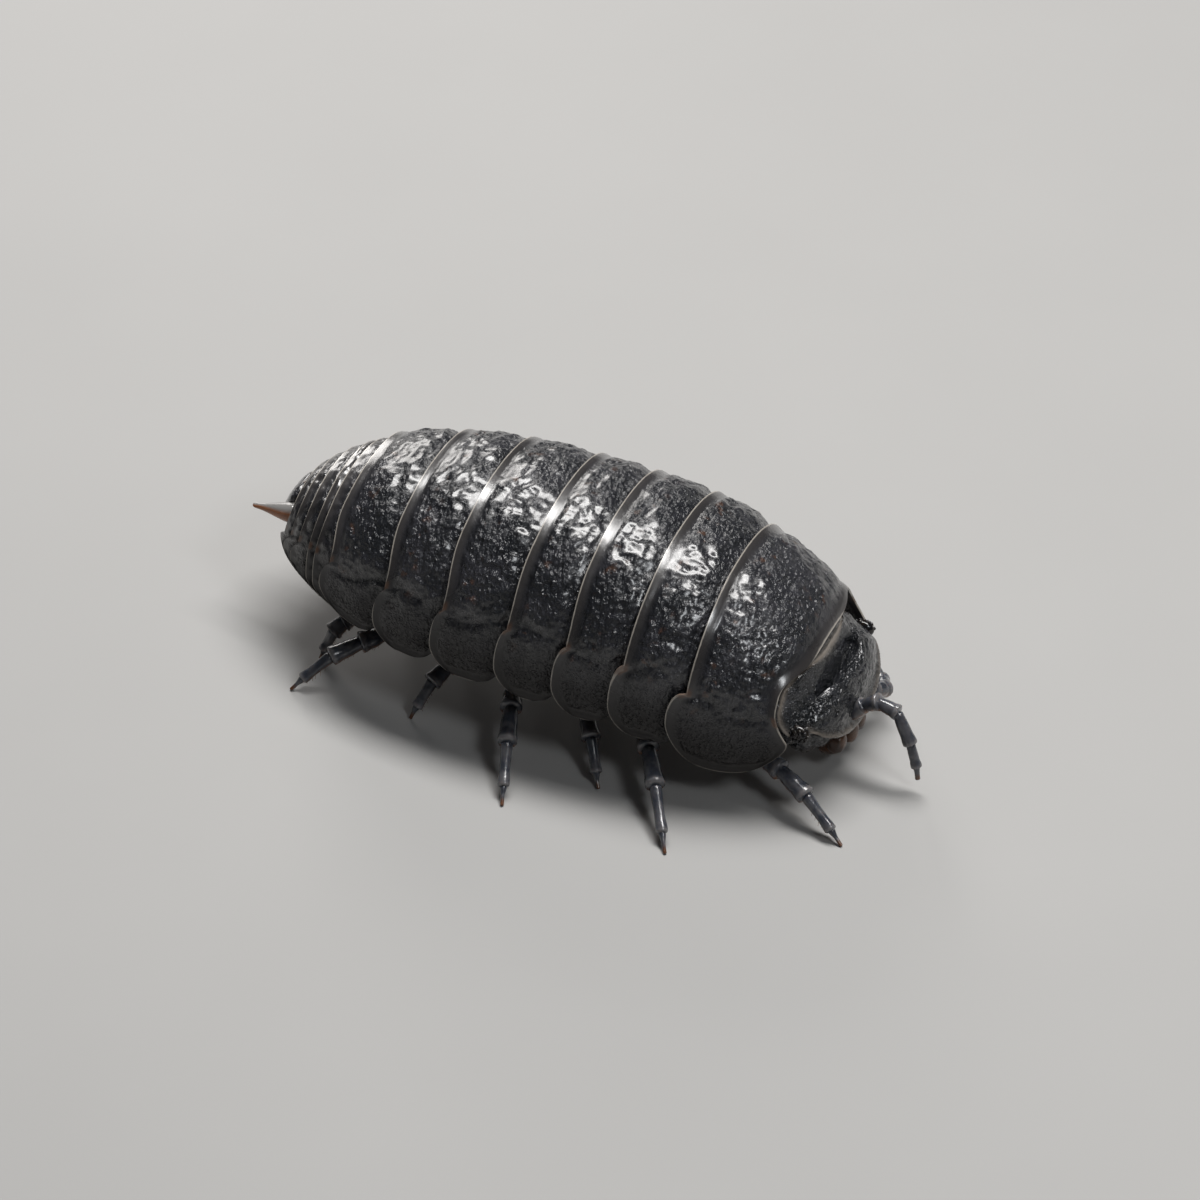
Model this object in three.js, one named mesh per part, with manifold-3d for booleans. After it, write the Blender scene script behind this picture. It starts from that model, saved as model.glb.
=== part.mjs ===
// A pill woodlouse at life size, standing on a level floor with its front end lowered and its legs spread.
// Seven overlapping plates cover the trunk, each with a hanging side lobe; five narrow plates and a small
// end plate close the tail. Millimetres: +X is towards the head, +Y is the animal's left, +Z is up.
import * as THREE from "three";
import { mergeVertices } from "three/addons/utils/BufferGeometryUtils.js";
import Module from "manifold-3d";

const wasm = await Module();
wasm.setup();

// Clearance between neighbouring pieces, and round an eye in its socket.
const gap = 0.2;
const socketGap = 0.12;

// The trunk as one arched form. Heights are above the floor, and x is 0 where the fourth plate ends.
const trunk = {
  halfWidth: 3.72,
  widthReachFront: 9.6,
  widthReachRear: 7.9,
  crest: 6.3,
  crestReachFront: 7.95,
  springing: 2.7,
  hem: 2.1,
  tailHemRise: 0.4,
  belly: 3.05,
  squareness: 2.3,
};

// Where each trunk plate's rear edge crosses the flank, from the first plate to the seventh, how far
// its side lobe sweeps back from there, and how far the edge bows forward over the back.
const rearEdges = [5.1, 3.4, 1.7, 0, -1.95, -3.75, -5.6];
const lobeSweeps = [0.55, 0.42, 0.3, 0.22, 0.18, 0.15, 0.12];
const bows = [0.15, 0.2, 0.25, 0.35, 0.35, 0.35, 0.35];
const plate = {
  step: 0.16,
  rim: 0.05,
  hemThickness: 0.32,
  thickness: 0.5,
  lobeTop: 2,
  lobeFull: 0.9,
  rearCorner: 0.85,
  frontCorner: 0.6,
  underlap: 0.45,
};
const hood = {
  frontEdge: 7.3,
  cornerReach: 0.45,
  crestReach: 0.4,
  corner: 1,
  dip: 0.85,
  dipAt: 6.2,
  dipHalfLength: 1.9,
};

// The head, wider than long, with a raised margin across its front and an eye high on each side.
const headForm = { centre: [7.74, 0, 2.0], half: [0.96, 2.08, 1.25], squareness: 2.4 };
const frontMarginRidge = { halfAngle: 1.15, low: -0.42, rise: 0.5, radius: 0.12 };
const eye = { centre: [7.68, 1.78, 2.58], half: [0.38, 0.27, 0.3], facets: 10, facetRadius: 0.1 };
const mouth = { centre: [8.25, 0, 0.9], half: [0.55, 1.15, 0.62], slit: 0.14, slitDepth: 0.35 };

// Feelers, as points from root to tip on the right side and on the left, with the radius at each joint.
const feelerRadii = [0.26, 0.25, 0.25, 0.24, 0.24, 0.22, 0.14];
const rightFeeler = [
  [8.5, -0.6, 1.7], [9.1, -0.52, 2.0], [9.5, -0.46, 2.15], [10.0, -0.5, 2.0],
  [10.35, -0.6, 1.3], [10.5, -0.66, 0.75], [10.55, -0.68, 0.4],
];
const leftFeeler = [
  [8.4, 0.75, 1.6], [8.85, 1.1, 1.3], [8.85, 1.65, 0.95], [8.4, 2.25, 0.72],
  [7.95, 2.7, 0.68], [7.6, 2.95, 0.66], [7.4, 3.05, 0.64],
];

// The five tail plates, by where each rear edge crosses the back, and the pieces that close the tail.
const tailEdges = [-5.95, -6.25, -6.55, -6.85, -7.15];
const tail = {
  overlap: 0.56,
  lift: 0.1,
  sink: 0.12,
  bow: 0.18,
  lobeSweep: 0.3,
  lobedFrom: 2,
  corner: 0.35,
  wall: 0.4,
};
const telson = { centre: [-7.56, 0, 3.42], half: [0.62, 0.46, 0.19], pitch: 1.08 };
const spike = {
  rootY: 0.74,
  root: [-7.42, 3.38],
  rightTip: [-8.5, 3.28],
  leftTip: [-8.1, 2.75],
  radius: 0.22,
  tipRadius: 0.08,
};
const flap = { pairs: 4, firstX: -6.0, pitch: 0.32, half: [0.3, 0.64, 0.26], y: 0.58, z: 2.55 };

// Legs: where each one starts under the trunk, how far back its knee lies, and where its foot stands,
// as [x, distance from the middle].
const legRoots = [5.95, 3.4, 1.7, 0.0, -1.5, -3.35, -5];
const kneesBack = [0.05, 0.5, 0.5, 0.5, 0.15, 0.15, 0];
const rightFeet = [
  [9.55, 3.45], [5.55, 5.55], [3, 4], [0.99, 5.6], [-2.65, 3.5], [-6.05, 3.75], [-5.9, 2.3],
];
const leftFeet = [
  [6.6, 4.2], [4.6, 5.1], [2.2, 5.3], [0.3, 5.2], [-2.3, 5.1], [-4.5, 4.8], [-6.6, 3.5],
];
const leg = { rootY: 2.35, kneeY: 1.35, firstKneeY: 1.85, kneeZ: 1.7, sides: 6 };
// From the knee to the foot: share of the way, height above the floor, and radius at each joint.
const legJoints = [
  [0.22, 1.22, 0.24], [0.42, 1.12, 0.26], [0.66, 0.88, 0.24], [0.9, 0.32, 0.17], [1, -0.1, 0.14],
];

const clamp = (v, low, high) => Math.min(high, Math.max(low, v));
const lerp = (a, b, t) => a + (b - a) * t;
const smooth = (a, b, v) => {
  const t = clamp((v - a) / (b - a), 0, 1);
  return t * t * (3 - 2 * t);
};

// How far a form with this reach and fullness has narrowed at a distance from its widest place.
const taper = (distance, reach, fullness) =>
  Math.sqrt(Math.max(0, 1 - Math.pow(Math.abs(distance) / reach, fullness)));

const rearTaper = (x) => taper(x, trunk.widthReachRear, 2.2);

const halfWidthAt = (x) => trunk.halfWidth * (x > 0 ? taper(x, trunk.widthReachFront, 3.4) : rearTaper(x));

const crestAt = (x) => {
  const share = x > 0 ? taper(x, trunk.crestReachFront, 2.6) : rearTaper(x);
  return lerp(trunk.springing, trunk.crest, share);
};

const hemAt = (x) => {
  const dip = hood.dip * Math.max(0, 1 - Math.pow((x - hood.dipAt) / hood.dipHalfLength, 2));
  return trunk.hem - dip + trunk.tailHemRise * smooth(3, 7, -x);
};

// A point of the arched surface: turn runs from 0 at the right hem over the back to pi at the left one.
function archPoint(x, turn, lift) {
  const power = 2 / trunk.squareness;
  const across = Math.cos(turn);
  const hem = hemAt(x);
  const y = -(halfWidthAt(x) + lift) * Math.sign(across) * Math.pow(Math.abs(across), power);
  const z = hem + (crestAt(x) + lift - hem) * Math.pow(Math.max(0, Math.sin(turn)), power);
  return [x, y, z];
}

const turnAtHeight = (x, above) => {
  const share = clamp(above / (crestAt(x) - hemAt(x)), 0, 1);
  return Math.asin(Math.pow(share, trunk.squareness / 2));
};

const cornerInset = (above, radius) =>
  above < radius ? radius - Math.sqrt(radius * radius - (radius - above) * (radius - above)) : 0;

// The rear edge of trunk plate i at a height above the hem, bowed forward over the back and swept back
// in the lobe.
function rearMargin(i, above) {
  const lobe = 1 - smooth(plate.lobeFull, plate.lobeTop, above);
  return rearEdges[i] + bows[i] * smooth(1.8, 4.2, above) - lobeSweeps[i] * lobe;
}

function frontMargin(i, above) {
  if (i === 0) {
    const lowReach = hood.cornerReach * (1 - smooth(0.4, 2.4, above));
    const highReach = hood.crestReach * smooth(2.8, 4.2, above);
    return hood.frontEdge + lowReach + highReach - cornerInset(above, hood.corner);
  }
  const covered = rearMargin(i - 1, above) + cornerInset(above, plate.rearCorner) - gap;
  const ownCorner = rearMargin(i - 1, 0) + plate.underlap - cornerInset(above, plate.frontCorner);
  return Math.min(covered, ownCorner);
}

// A closed solid between an outer and an inner grid of the same size, joined round their borders.
function slab(columns, rows, outer, inner) {
  const points = [];
  const faces = [];
  const at = (side, c, r) => side * (columns + 1) * (rows + 1) + c * (rows + 1) + r;
  for (const surface of [outer, inner])
    for (let c = 0; c <= columns; c++) for (let r = 0; r <= rows; r++) points.push(...surface(c, r));
  const quad = (a, b, c, d) => faces.push(a, b, c, a, c, d);
  for (let c = 0; c < columns; c++)
    for (let r = 0; r < rows; r++) {
      quad(at(0, c, r), at(0, c, r + 1), at(0, c + 1, r + 1), at(0, c + 1, r));
      quad(at(1, c, r), at(1, c + 1, r), at(1, c + 1, r + 1), at(1, c, r + 1));
    }
  for (let c = 0; c < columns; c++) {
    quad(at(0, c, 0), at(0, c + 1, 0), at(1, c + 1, 0), at(1, c, 0));
    quad(at(0, c + 1, rows), at(0, c, rows), at(1, c, rows), at(1, c + 1, rows));
  }
  for (let r = 0; r < rows; r++) {
    quad(at(0, 0, r + 1), at(0, 0, r), at(1, 0, r), at(1, 0, r + 1));
    quad(at(0, columns, r), at(0, columns, r + 1), at(1, columns, r + 1), at(1, columns, r));
  }
  return meshSolid(points, faces);
}

function meshSolid(points, faces) {
  const volume = faces.reduce((sum, _, k) => {
    if (k % 3) return sum;
    const [a, b, c] = [0, 1, 2].map((n) => new THREE.Vector3().fromArray(points, 3 * faces[k + n]));
    return sum + a.dot(b.cross(c)) / 6;
  }, 0);
  const triVerts = new Uint32Array(faces);
  if (volume < 0)
    for (let k = 0; k < triVerts.length; k += 3)
      [triVerts[k + 1], triVerts[k + 2]] = [triVerts[k + 2], triVerts[k + 1]];
  return new wasm.Manifold(new wasm.Mesh({ numProp: 3, vertProperties: new Float32Array(points), triVerts }));
}

// A three.js geometry as a solid that manifold-3d can join and cut.
function solidOf(geometry) {
  const bare = geometry.clone();
  for (const name of Object.keys(bare.attributes)) if (name !== "position") bare.deleteAttribute(name);
  const merged = mergeVertices(bare, 1e-5);
  const faces = [];
  for (let k = 0; k < merged.index.count; k += 3) {
    const [a, b, c] = [0, 1, 2].map((n) => merged.index.getX(k + n));
    if (a !== b && b !== c && c !== a) faces.push(a, b, c);
  }
  return meshSolid([...merged.attributes.position.array], faces);
}

const joined = (solids) => solids.reduce((sum, s) => sum.add(s));

const largest = (solid) => solid.decompose().reduce((a, b) => (a.volume() > b.volume() ? a : b));

function geometryOf(solid) {
  const mesh = largest(solid).getMesh();
  const stride = mesh.numProp;
  const position = new Float32Array(mesh.numVert * 3);
  for (let i = 0; i < mesh.numVert; i++)
    position.set(mesh.vertProperties.subarray(i * stride, i * stride + 3), 3 * i);
  const geometry = new THREE.BufferGeometry();
  geometry.setAttribute("position", new THREE.BufferAttribute(position, 3));
  geometry.setIndex(new THREE.BufferAttribute(new Uint32Array(mesh.triVerts), 1));
  geometry.computeVertexNormals();
  return geometry;
}

// The rows of a ring from one hem over the back to the other: the heights of the lowest ones above the hem,
// and the number of even steps from the last of them to the crest.
const trunkRows = { low: [0, 0.08, 0.26, 0.5, 0.85, 1.25, 1.65, 2.05], arch: 5 };
const tailRows = { low: [0, 0.15, 0.45, 0.9], arch: 4 };
const crestHeight = 4.2;

const rowsToCrest = (rows) => rows.low.length - 1 + rows.arch;

// The turn of a row, counted from the right hem, where the rows mirror at the crest.
function rowTurn(rows, x, r) {
  const half = rowsToCrest(rows);
  const k = r <= half ? r : 2 * half - r;
  const last = rows.low.length - 1;
  const start = turnAtHeight(x, rows.low[Math.min(k, last)]);
  const turn = k <= last ? start : lerp(start, Math.PI / 2, (k - last) / rows.arch);
  return r <= half ? turn : Math.PI - turn;
}

function rowHeight(rows, r) {
  const half = rowsToCrest(rows);
  const k = r <= half ? r : 2 * half - r;
  const last = rows.low.length - 1;
  return k <= last ? rows.low[k] : lerp(rows.low[last], crestHeight, (k - last) / rows.arch);
}

// The direction square to the arch at a point of it.
function archNormal(x, [, y, z]) {
  const n = trunk.squareness;
  const hem = hemAt(x);
  const across = Math.sign(y) * Math.pow(Math.abs(y) / halfWidthAt(x), n - 1) / halfWidthAt(x);
  const up = Math.pow(Math.max(0, z - hem) / (crestAt(x) - hem), n - 1) / (crestAt(x) - hem);
  const size = Math.hypot(across, up);
  return [across / size, up / size];
}

// The inside of a plate: its wall thins towards the hem, and the belly closes the ring between the lobes.
function undersidePoint([x, y, z], above, full) {
  const wall = lerp(plate.hemThickness, full, smooth(0, 0.6, above));
  const [across, up] = archNormal(x, [x, y, z]);
  return [x, y - wall * across, Math.min(z - wall * up, trunk.belly)];
}

// A ring with an arched back from a front to a rear edge, each given by height above the hem.
function ring(rows, front, rear, shares, lift, wall) {
  const outer = (c, r) => {
    const above = rowHeight(rows, r);
    const x = lerp(front(above), rear(above), shares[c]);
    return archPoint(x, rowTurn(rows, x, r), lift(shares[c]));
  };
  const inner = (c, r) => undersidePoint(outer(c, r), rowHeight(rows, r), wall);
  return slab(shares.length - 1, 2 * rowsToCrest(rows), outer, inner);
}

function trunkPlate(i) {
  const front = (above) => frontMargin(i, above);
  const rear = (above) => rearMargin(i, above) + cornerInset(above, plate.rearCorner);
  const lift = (share) => plate.step * (smooth(0, 0.9, share) - 1) + (share > 0.8 ? plate.rim : 0);
  return ring(trunkRows, front, rear, [0, 0.3, 0.6, 0.85, 1], lift, plate.thickness);
}

// A point of a rounded box-like ball in a direction from its middle.
function ballPoint({ centre, half, squareness = 2 }, direction) {
  const sum = direction.reduce((s, v) => s + Math.pow(Math.abs(v), squareness), 0);
  return direction.map((v, k) => centre[k] + (half[k] * v) / Math.pow(sum, 1 / squareness));
}

function ballGeometry(form, around, down) {
  const geometry = new THREE.SphereGeometry(1, around, down);
  const p = geometry.attributes.position;
  for (let i = 0; i < p.count; i++) p.setXYZ(i, ...ballPoint(form, [p.getX(i), p.getY(i), p.getZ(i)]));
  return geometry;
}

const ball = (form, around, down) => solidOf(ballGeometry(form, around, down));

const grown = (form, by) => ({ ...form, half: form.half.map((v) => v + by) });

const box = (size, centre) => solidOf(new THREE.BoxGeometry(...size).translate(...centre));

const mirrored = ([x, y, z], side) => [x, side * y, z];

// A round bar along a smooth curve through points.
function bar(points, radius, steps, sides) {
  const path = new THREE.CatmullRomCurve3(points.map((p) => new THREE.Vector3(...p)));
  const section = new THREE.Shape(
    Array.from({ length: sides }, (_, k) => {
      const turn = (2 * Math.PI * k) / sides;
      return new THREE.Vector2(radius * Math.cos(turn), radius * Math.sin(turn));
    }),
  );
  return solidOf(new THREE.ExtrudeGeometry(section, { steps, extrudePath: path, bevelEnabled: false }));
}

// One article of a limb: a turned form that widens from its root and ends in a short flare.
function article(from, to, rootRadius, endRadius, sides) {
  const start = new THREE.Vector3(...from);
  const along = new THREE.Vector3(...to).sub(start);
  const length = along.length();
  const profile = [
    [0, -0.6 * rootRadius],
    [0.75 * rootRadius, -0.2 * rootRadius],
    [endRadius, 0.86 * length],
    [0.72 * endRadius, length + 0.1 * endRadius],
    [0, length + 0.3 * endRadius],
  ].map(([r, h]) => new THREE.Vector2(r, h));
  const geometry = new THREE.LatheGeometry(profile, sides);
  const up = new THREE.Vector3(0, 1, 0);
  geometry.applyQuaternion(new THREE.Quaternion().setFromUnitVectors(up, along.normalize()));
  return solidOf(geometry.translate(...from));
}

// A limb of articles through its joints, each joint with its own radius.
const limb = (joints, radii, sides) =>
  joined(joints.slice(1).map((to, k) => article(joints[k], to, radii[k], radii[k + 1], sides)));

function head() {
  const ridge = Array.from({ length: 9 }, (_, k) => {
    const turn = lerp(-1, 1, k / 8) * frontMarginRidge.halfAngle;
    const height = frontMarginRidge.low + frontMarginRidge.rise * Math.pow(Math.abs(turn), 1.5);
    return ballPoint(headForm, [Math.cos(turn), Math.sin(turn), height]);
  });
  const sockets = [1, -1].map((side) => ball(grown(eyeForm(side), socketGap), 10, 6));
  return ball(headForm, 26, 16)
    .add(bar(ridge, frontMarginRidge.radius, 12, 5))
    .subtract(joined(sockets));
}

const headClearance = () => ball(grown(headForm, gap), 26, 16);

const eyeForm = (side) => ({ centre: mirrored(eye.centre, side), half: eye.half });

// An eye with its small round facets, spread evenly over the outer side in a turning row.
function compoundEye(side) {
  const form = eyeForm(side);
  const facets = Array.from({ length: eye.facets }, (_, k) => {
    const tilt = 1.15 * Math.sqrt((k + 0.5) / eye.facets);
    const turn = 2.4 * k;
    const spread = Math.sin(tilt);
    const direction = [spread * Math.cos(turn), side * Math.cos(tilt), spread * Math.sin(turn)];
    const half = Array(3).fill(eye.facetRadius);
    return ball({ centre: ballPoint(form, direction), half }, 5, 4);
  });
  return ball(form, 10, 6).add(joined(facets));
}

function mouthparts() {
  const { centre, half, slit, slitDepth } = mouth;
  const low = [centre[0], 0, centre[2] - half[2]];
  return ball({ centre, half, squareness: 2.6 }, 18, 10)
    .subtract(box([3 * half[0], slit, 2 * slitDepth], low))
    .subtract(headClearance());
}

const feeler = (points) => limb(points, feelerRadii, leg.sides).subtract(headClearance());

// Five narrow plates, each tucked under the one before it, fused into one tail piece.
function tailPlates() {
  const plates = tailEdges.map((edge, j) => {
    const sweep = j < tail.lobedFrom ? 0 : tail.lobeSweep;
    const lift = (share) => tail.lift * (smooth(0, 1, share) - 1) - tail.sink;
    const rear = (above) => edge + tail.bow * smooth(1.5, 4, above) - sweep * (1 - smooth(0.6, 1.6, above));
    const first = (above) => rearMargin(6, above) + cornerInset(above, plate.rearCorner) - gap;
    const front = (above) => (j === 0 ? first(above) : Math.min(first(above), rear(above) + tail.overlap));
    const rounded = (above) => rear(above) + cornerInset(above, tail.corner);
    return ring(tailRows, front, rounded, [0, 0.5, 1], lift, tail.wall);
  });
  return joined(plates);
}

function tailEnd() {
  const { centre, half, pitch } = telson;
  const form = { centre: [0, 0, 0], half, squareness: 2.6 };
  return solidOf(ballGeometry(form, 14, 10).rotateY(-pitch).translate(...centre));
}

function tailSpike(side) {
  const tip = side < 0 ? spike.rightTip : spike.leftTip;
  const [x, z] = spike.root;
  const from = [x, side * spike.rootY, z];
  const to = [tip[0], side * spike.rootY, tip[1]];
  const middle = from.map((v, k) => lerp(v, to[k], 0.35));
  return limb([from, middle, to], [spike.radius, spike.radius, spike.tipRadius], 8);
}

// The gill flaps under the tail: pairs of thin plates, each pair lying over the front of the next.
function gillFlaps() {
  const flaps = [];
  for (let k = 0; k < flap.pairs; k++)
    for (const side of [1, -1]) {
      const form = { centre: [0, 0, 0], half: flap.half, squareness: 2.6 };
      const x = flap.firstX - k * flap.pitch;
      flaps.push(solidOf(ballGeometry(form, 8, 5).rotateY(0.5).translate(x, side * flap.y, flap.z)));
    }
  return joined(flaps).subtract(box([4, 4, 1], [-6.5, 0, trunk.belly - gap + 0.5]));
}

// A leg bends down to a knee near the middle and reaches out to its foot, which ends in a level flat.
function walkingLeg(k, side) {
  const [footX, footY] = (side < 0 ? rightFeet : leftFeet)[k];
  const kneeY = k === 0 ? leg.firstKneeY : leg.kneeY;
  const root = [legRoots[k], side * leg.rootY, trunk.belly];
  const kneeX = legRoots[k] - kneesBack[k];
  const knee = [kneeX, side * kneeY, leg.kneeZ];
  const joints = legJoints.map(([share, z]) => [
    lerp(kneeX, footX, share),
    side * lerp(kneeY, footY, share),
    z,
  ]);
  const radii = [0.3, 0.25, ...legJoints.map(([, , radius]) => radius)];
  const whole = limb([root, knee, ...joints], radii, leg.sides);
  const above = box([3, 3, 1], [root[0], root[1], trunk.belly - gap + 0.5]);
  const below = box([3, 3, 1], [footX, side * footY, -0.5]);
  return whole.subtract(above).subtract(below);
}

const finish = {
  shell: { color: 0x34363b, roughness: 0.28 },
  eye: { color: 0x0c0c0e, roughness: 0.15 },
  mouth: { color: 0x8a5a30, roughness: 0.4 },
  limb: { color: 0x565a63, roughness: 0.32 },
  spike: { color: 0x8d8a88, roughness: 0.35 },
  flap: { color: 0xa9a39a, roughness: 0.45 },
};

const animal = new THREE.Group();

function addNode(name, solid, look) {
  const material = new THREE.MeshStandardMaterial({ ...finish[look], metalness: 0 });
  const mesh = new THREE.Mesh(geometryOf(solid), material);
  mesh.name = name;
  animal.add(mesh);
}

addNode("head", head(), "shell");
addNode("mouthparts", mouthparts(), "mouth");
rearEdges.forEach((_, i) => {
  const whole = trunkPlate(i);
  addNode(`pereonite_${i + 1}`, i === 0 ? whole.subtract(headClearance()) : whole, "shell");
});
addNode("pleon", tailPlates(), "shell");
addNode("telson", tailEnd(), "shell");
addNode("pleopods", gillFlaps(), "flap");
for (const [side, word] of [[-1, "right"], [1, "left"]]) {
  addNode(`eye_${word}`, compoundEye(side), "eye");
  addNode(`antenna_${word}`, feeler(side < 0 ? rightFeeler : leftFeeler), "limb");
  addNode(`uropod_${word}`, tailSpike(side), "spike");
  legRoots.forEach((_, k) => addNode(`leg_${word}_${k + 1}`, walkingLeg(k, side), "limb"));
}

// The origin is at floor level under the middle of the whole animal's box.
const extent = new THREE.Box3().setFromObject(animal);
const middle = extent.getCenter(new THREE.Vector3());
animal.position.set(-middle.x, -middle.y, -extent.min.z);
const woodlouse = new THREE.Group();
woodlouse.add(animal);

export default woodlouse;
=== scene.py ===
"""A pill woodlouse at life size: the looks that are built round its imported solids.

Every size is in millimetres in the trunk's own frame and is turned into metres as a mesh is placed: x runs
towards the head from the rear edge of the fourth plate, y to the animal's left and z up from the floor.
"""

import logging
import math
import random
from dataclasses import dataclass
from enum import Enum
from functools import partial
from typing import Callable, Sequence

import bpy
from bpy.types import Material, Node, NodeSocket, Object
from mathutils import Matrix, Vector, noise


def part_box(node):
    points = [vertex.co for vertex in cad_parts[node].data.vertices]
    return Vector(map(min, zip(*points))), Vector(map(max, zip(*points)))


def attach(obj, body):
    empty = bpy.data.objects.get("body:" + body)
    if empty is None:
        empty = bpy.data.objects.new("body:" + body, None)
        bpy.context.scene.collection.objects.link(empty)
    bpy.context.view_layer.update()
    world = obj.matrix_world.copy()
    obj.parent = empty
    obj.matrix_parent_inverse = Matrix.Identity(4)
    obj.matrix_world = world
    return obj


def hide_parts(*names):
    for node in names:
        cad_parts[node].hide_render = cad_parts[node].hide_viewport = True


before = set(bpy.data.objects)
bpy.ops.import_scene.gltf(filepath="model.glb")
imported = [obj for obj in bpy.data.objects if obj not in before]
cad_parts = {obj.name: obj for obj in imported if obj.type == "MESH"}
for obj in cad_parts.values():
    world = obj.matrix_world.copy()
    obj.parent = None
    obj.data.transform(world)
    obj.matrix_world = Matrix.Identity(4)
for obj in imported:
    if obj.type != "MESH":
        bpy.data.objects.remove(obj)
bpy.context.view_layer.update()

MM = 0.001
LOG = logging.getLogger("woodlouse")

# The fourth plate's side lobe ends this far behind its rear edge, which is where x is 0.
FOURTH_LOBE_REACH = 0.22

# The edge measure starts from this distance at the hem, in millimetres.
HEM_EDGE = 0.012

Point = tuple[float, float, float]
Colour = tuple[float, float, float]


def trunk_origin() -> Vector:
    """Return the trunk frame's origin in the model, in metres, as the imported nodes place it.

    Returns:
        The origin.
    """
    fourth_low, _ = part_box("pereonite_4")
    head_low, head_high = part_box("head")
    return Vector((fourth_low[0] + FOURTH_LOBE_REACH * MM, (head_low[1] + head_high[1]) / 2, 0.0))


ORIGIN = trunk_origin()


class Slot(Enum):
    """The record's material slots."""

    CUTICLE = "cuticle"
    LIMB = "limb"
    EYE = "eye"
    MOUTH = "mouth"
    FLAP = "gill_flap"
    SPIKE = "tail_spike"


class Side(Enum):
    """The side of the animal, with its sign along y."""

    RIGHT = -1
    LEFT = 1

    @property
    def word(self) -> str:
        """Return the side's word, as node names use it."""
        return self.name.lower()


def clamp(value: float, low: float, high: float) -> float:
    """Return the value held between low and high."""
    return min(high, max(low, value))


def lerp(start: float, end: float, share: float) -> float:
    """Return the value a share of the way from start to end."""
    return start + (end - start) * share


def smooth(low: float, high: float, value: float) -> float:
    """Return 0 below low and 1 above high, with an even curve between them."""
    share = clamp((value - low) / (high - low), 0.0, 1.0)
    return share * share * (3 - 2 * share)


def taper(distance: float, reach: float, fullness: float) -> float:
    """Return how far a form of this reach and fullness has narrowed at a distance from its widest place."""
    return math.sqrt(max(0.0, 1 - (abs(distance) / reach) ** fullness))


def bell(value: float, width: float) -> float:
    """Return a smooth bump of height 1 at value 0."""
    return math.exp(-((value / width) ** 2))


def corner_inset(above: float, radius: float) -> float:
    """Return how far a rounded lower corner draws an edge in, at a height above the hem."""
    return radius - math.sqrt(radius**2 - (radius - above) ** 2) if above < radius else 0.0


def squared_off(direction: Vector, half: Sequence[float], power: float) -> Vector:
    """Return the place on a rounded box of these half sizes that lies in a direction from its middle."""
    size = sum(abs(part) ** power for part in direction) ** (1 / power)
    return Vector([reach * part / size for reach, part in zip(half, direction)])


# Modelling helpers


def select_only(piece: Object) -> None:
    """Make one object the whole selection and the active object.

    Args:
        piece: The object.
    """
    bpy.ops.object.select_all(action="DESELECT")
    piece.select_set(True)
    bpy.context.view_layer.objects.active = piece


def new_piece(name: str) -> Object:
    """Name the primitive that was just added, and return it.

    Args:
        name: The name for it and its mesh.

    Returns:
        The object.
    """
    piece = bpy.context.view_layer.objects.active
    piece.name = name
    piece.data.name = name
    return piece


def reshape(piece: Object, form: Callable[[Vector], Point]) -> None:
    """Move every vertex of a piece to its place in the trunk frame.

    Args:
        piece: The object whose mesh is shaped.
        form: Gives the new place, in the trunk frame, for the old one.
    """
    for vertex in piece.data.vertices:
        vertex.co = ORIGIN + Vector(form(vertex.co)) * MM


def in_trunk(place: Vector) -> Vector:
    """Return a model place, in metres, as millimetres of the trunk frame."""
    return (place - ORIGIN) / MM


def sheet_grid(name: str, columns: int, rows: int, form: Callable[[float, float], Point]) -> Object:
    """Make a sheet from a grid.

    Args:
        name: The piece's name.
        columns: Steps from the rear edge to the front edge.
        rows: Steps from the right hem over the back to the left one.
        form: Gives the place for a share from front to rear and a share from right to left.

    Returns:
        The sheet, with its outer face pointing out.
    """
    bpy.ops.object.select_all(action="DESELECT")
    bpy.ops.mesh.primitive_grid_add(x_subdivisions=columns, y_subdivisions=rows, size=2)
    piece = new_piece(name)
    reshape(piece, lambda co: form((1 - co.x) / 2, (1 + co.y) / 2))
    return piece


def round_form(name: str, around: int, down: int, form: Callable[[Vector], Point]) -> Object:
    """Make a closed round form from a ball.

    Args:
        name: The piece's name.
        around: Segments round the ball.
        down: Rings from pole to pole.
        form: Gives the place for each direction from the middle.

    Returns:
        The shaped piece.
    """
    bpy.ops.object.select_all(action="DESELECT")
    bpy.ops.mesh.primitive_uv_sphere_add(segments=around, ring_count=down, radius=1)
    piece = new_piece(name)
    reshape(piece, form)
    return piece


def thicken(piece: Object, thickness: float) -> None:
    """Give a sheet a wall inwards from its outer face, in millimetres.

    Args:
        piece: The object.
        thickness: The wall, in millimetres.
    """
    select_only(piece)
    wall = piece.modifiers.new("wall", "SOLIDIFY")
    wall.thickness = thickness * MM
    wall.offset = -1
    wall.use_even_offset = False
    bpy.ops.object.modifier_apply(modifier=wall.name)


def join(pieces: Sequence[Object], name: str) -> Object:
    """Join pieces into one mesh under a name, and return it.

    Args:
        pieces: The parts, the first of which takes in the rest.
        name: The joined piece's name.

    Returns:
        The joined piece.
    """
    select_only(pieces[0])
    for piece in pieces[1:]:
        piece.select_set(True)
    if len(pieces) > 1:
        bpy.ops.object.join()
    return new_piece(name)


def mark(piece: Object, name: str, measure: Callable[[Vector], float]) -> None:
    """Store a measure of each vertex's place in the trunk frame as an attribute.

    Args:
        piece: The object.
        name: The attribute's name.
        measure: Gives the value for a place in the trunk frame.
    """
    layer = piece.data.attributes.new(name, "FLOAT", "POINT")
    values = [measure(in_trunk(vertex.co)) for vertex in piece.data.vertices]
    layer.data.foreach_set("value", values)


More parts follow.
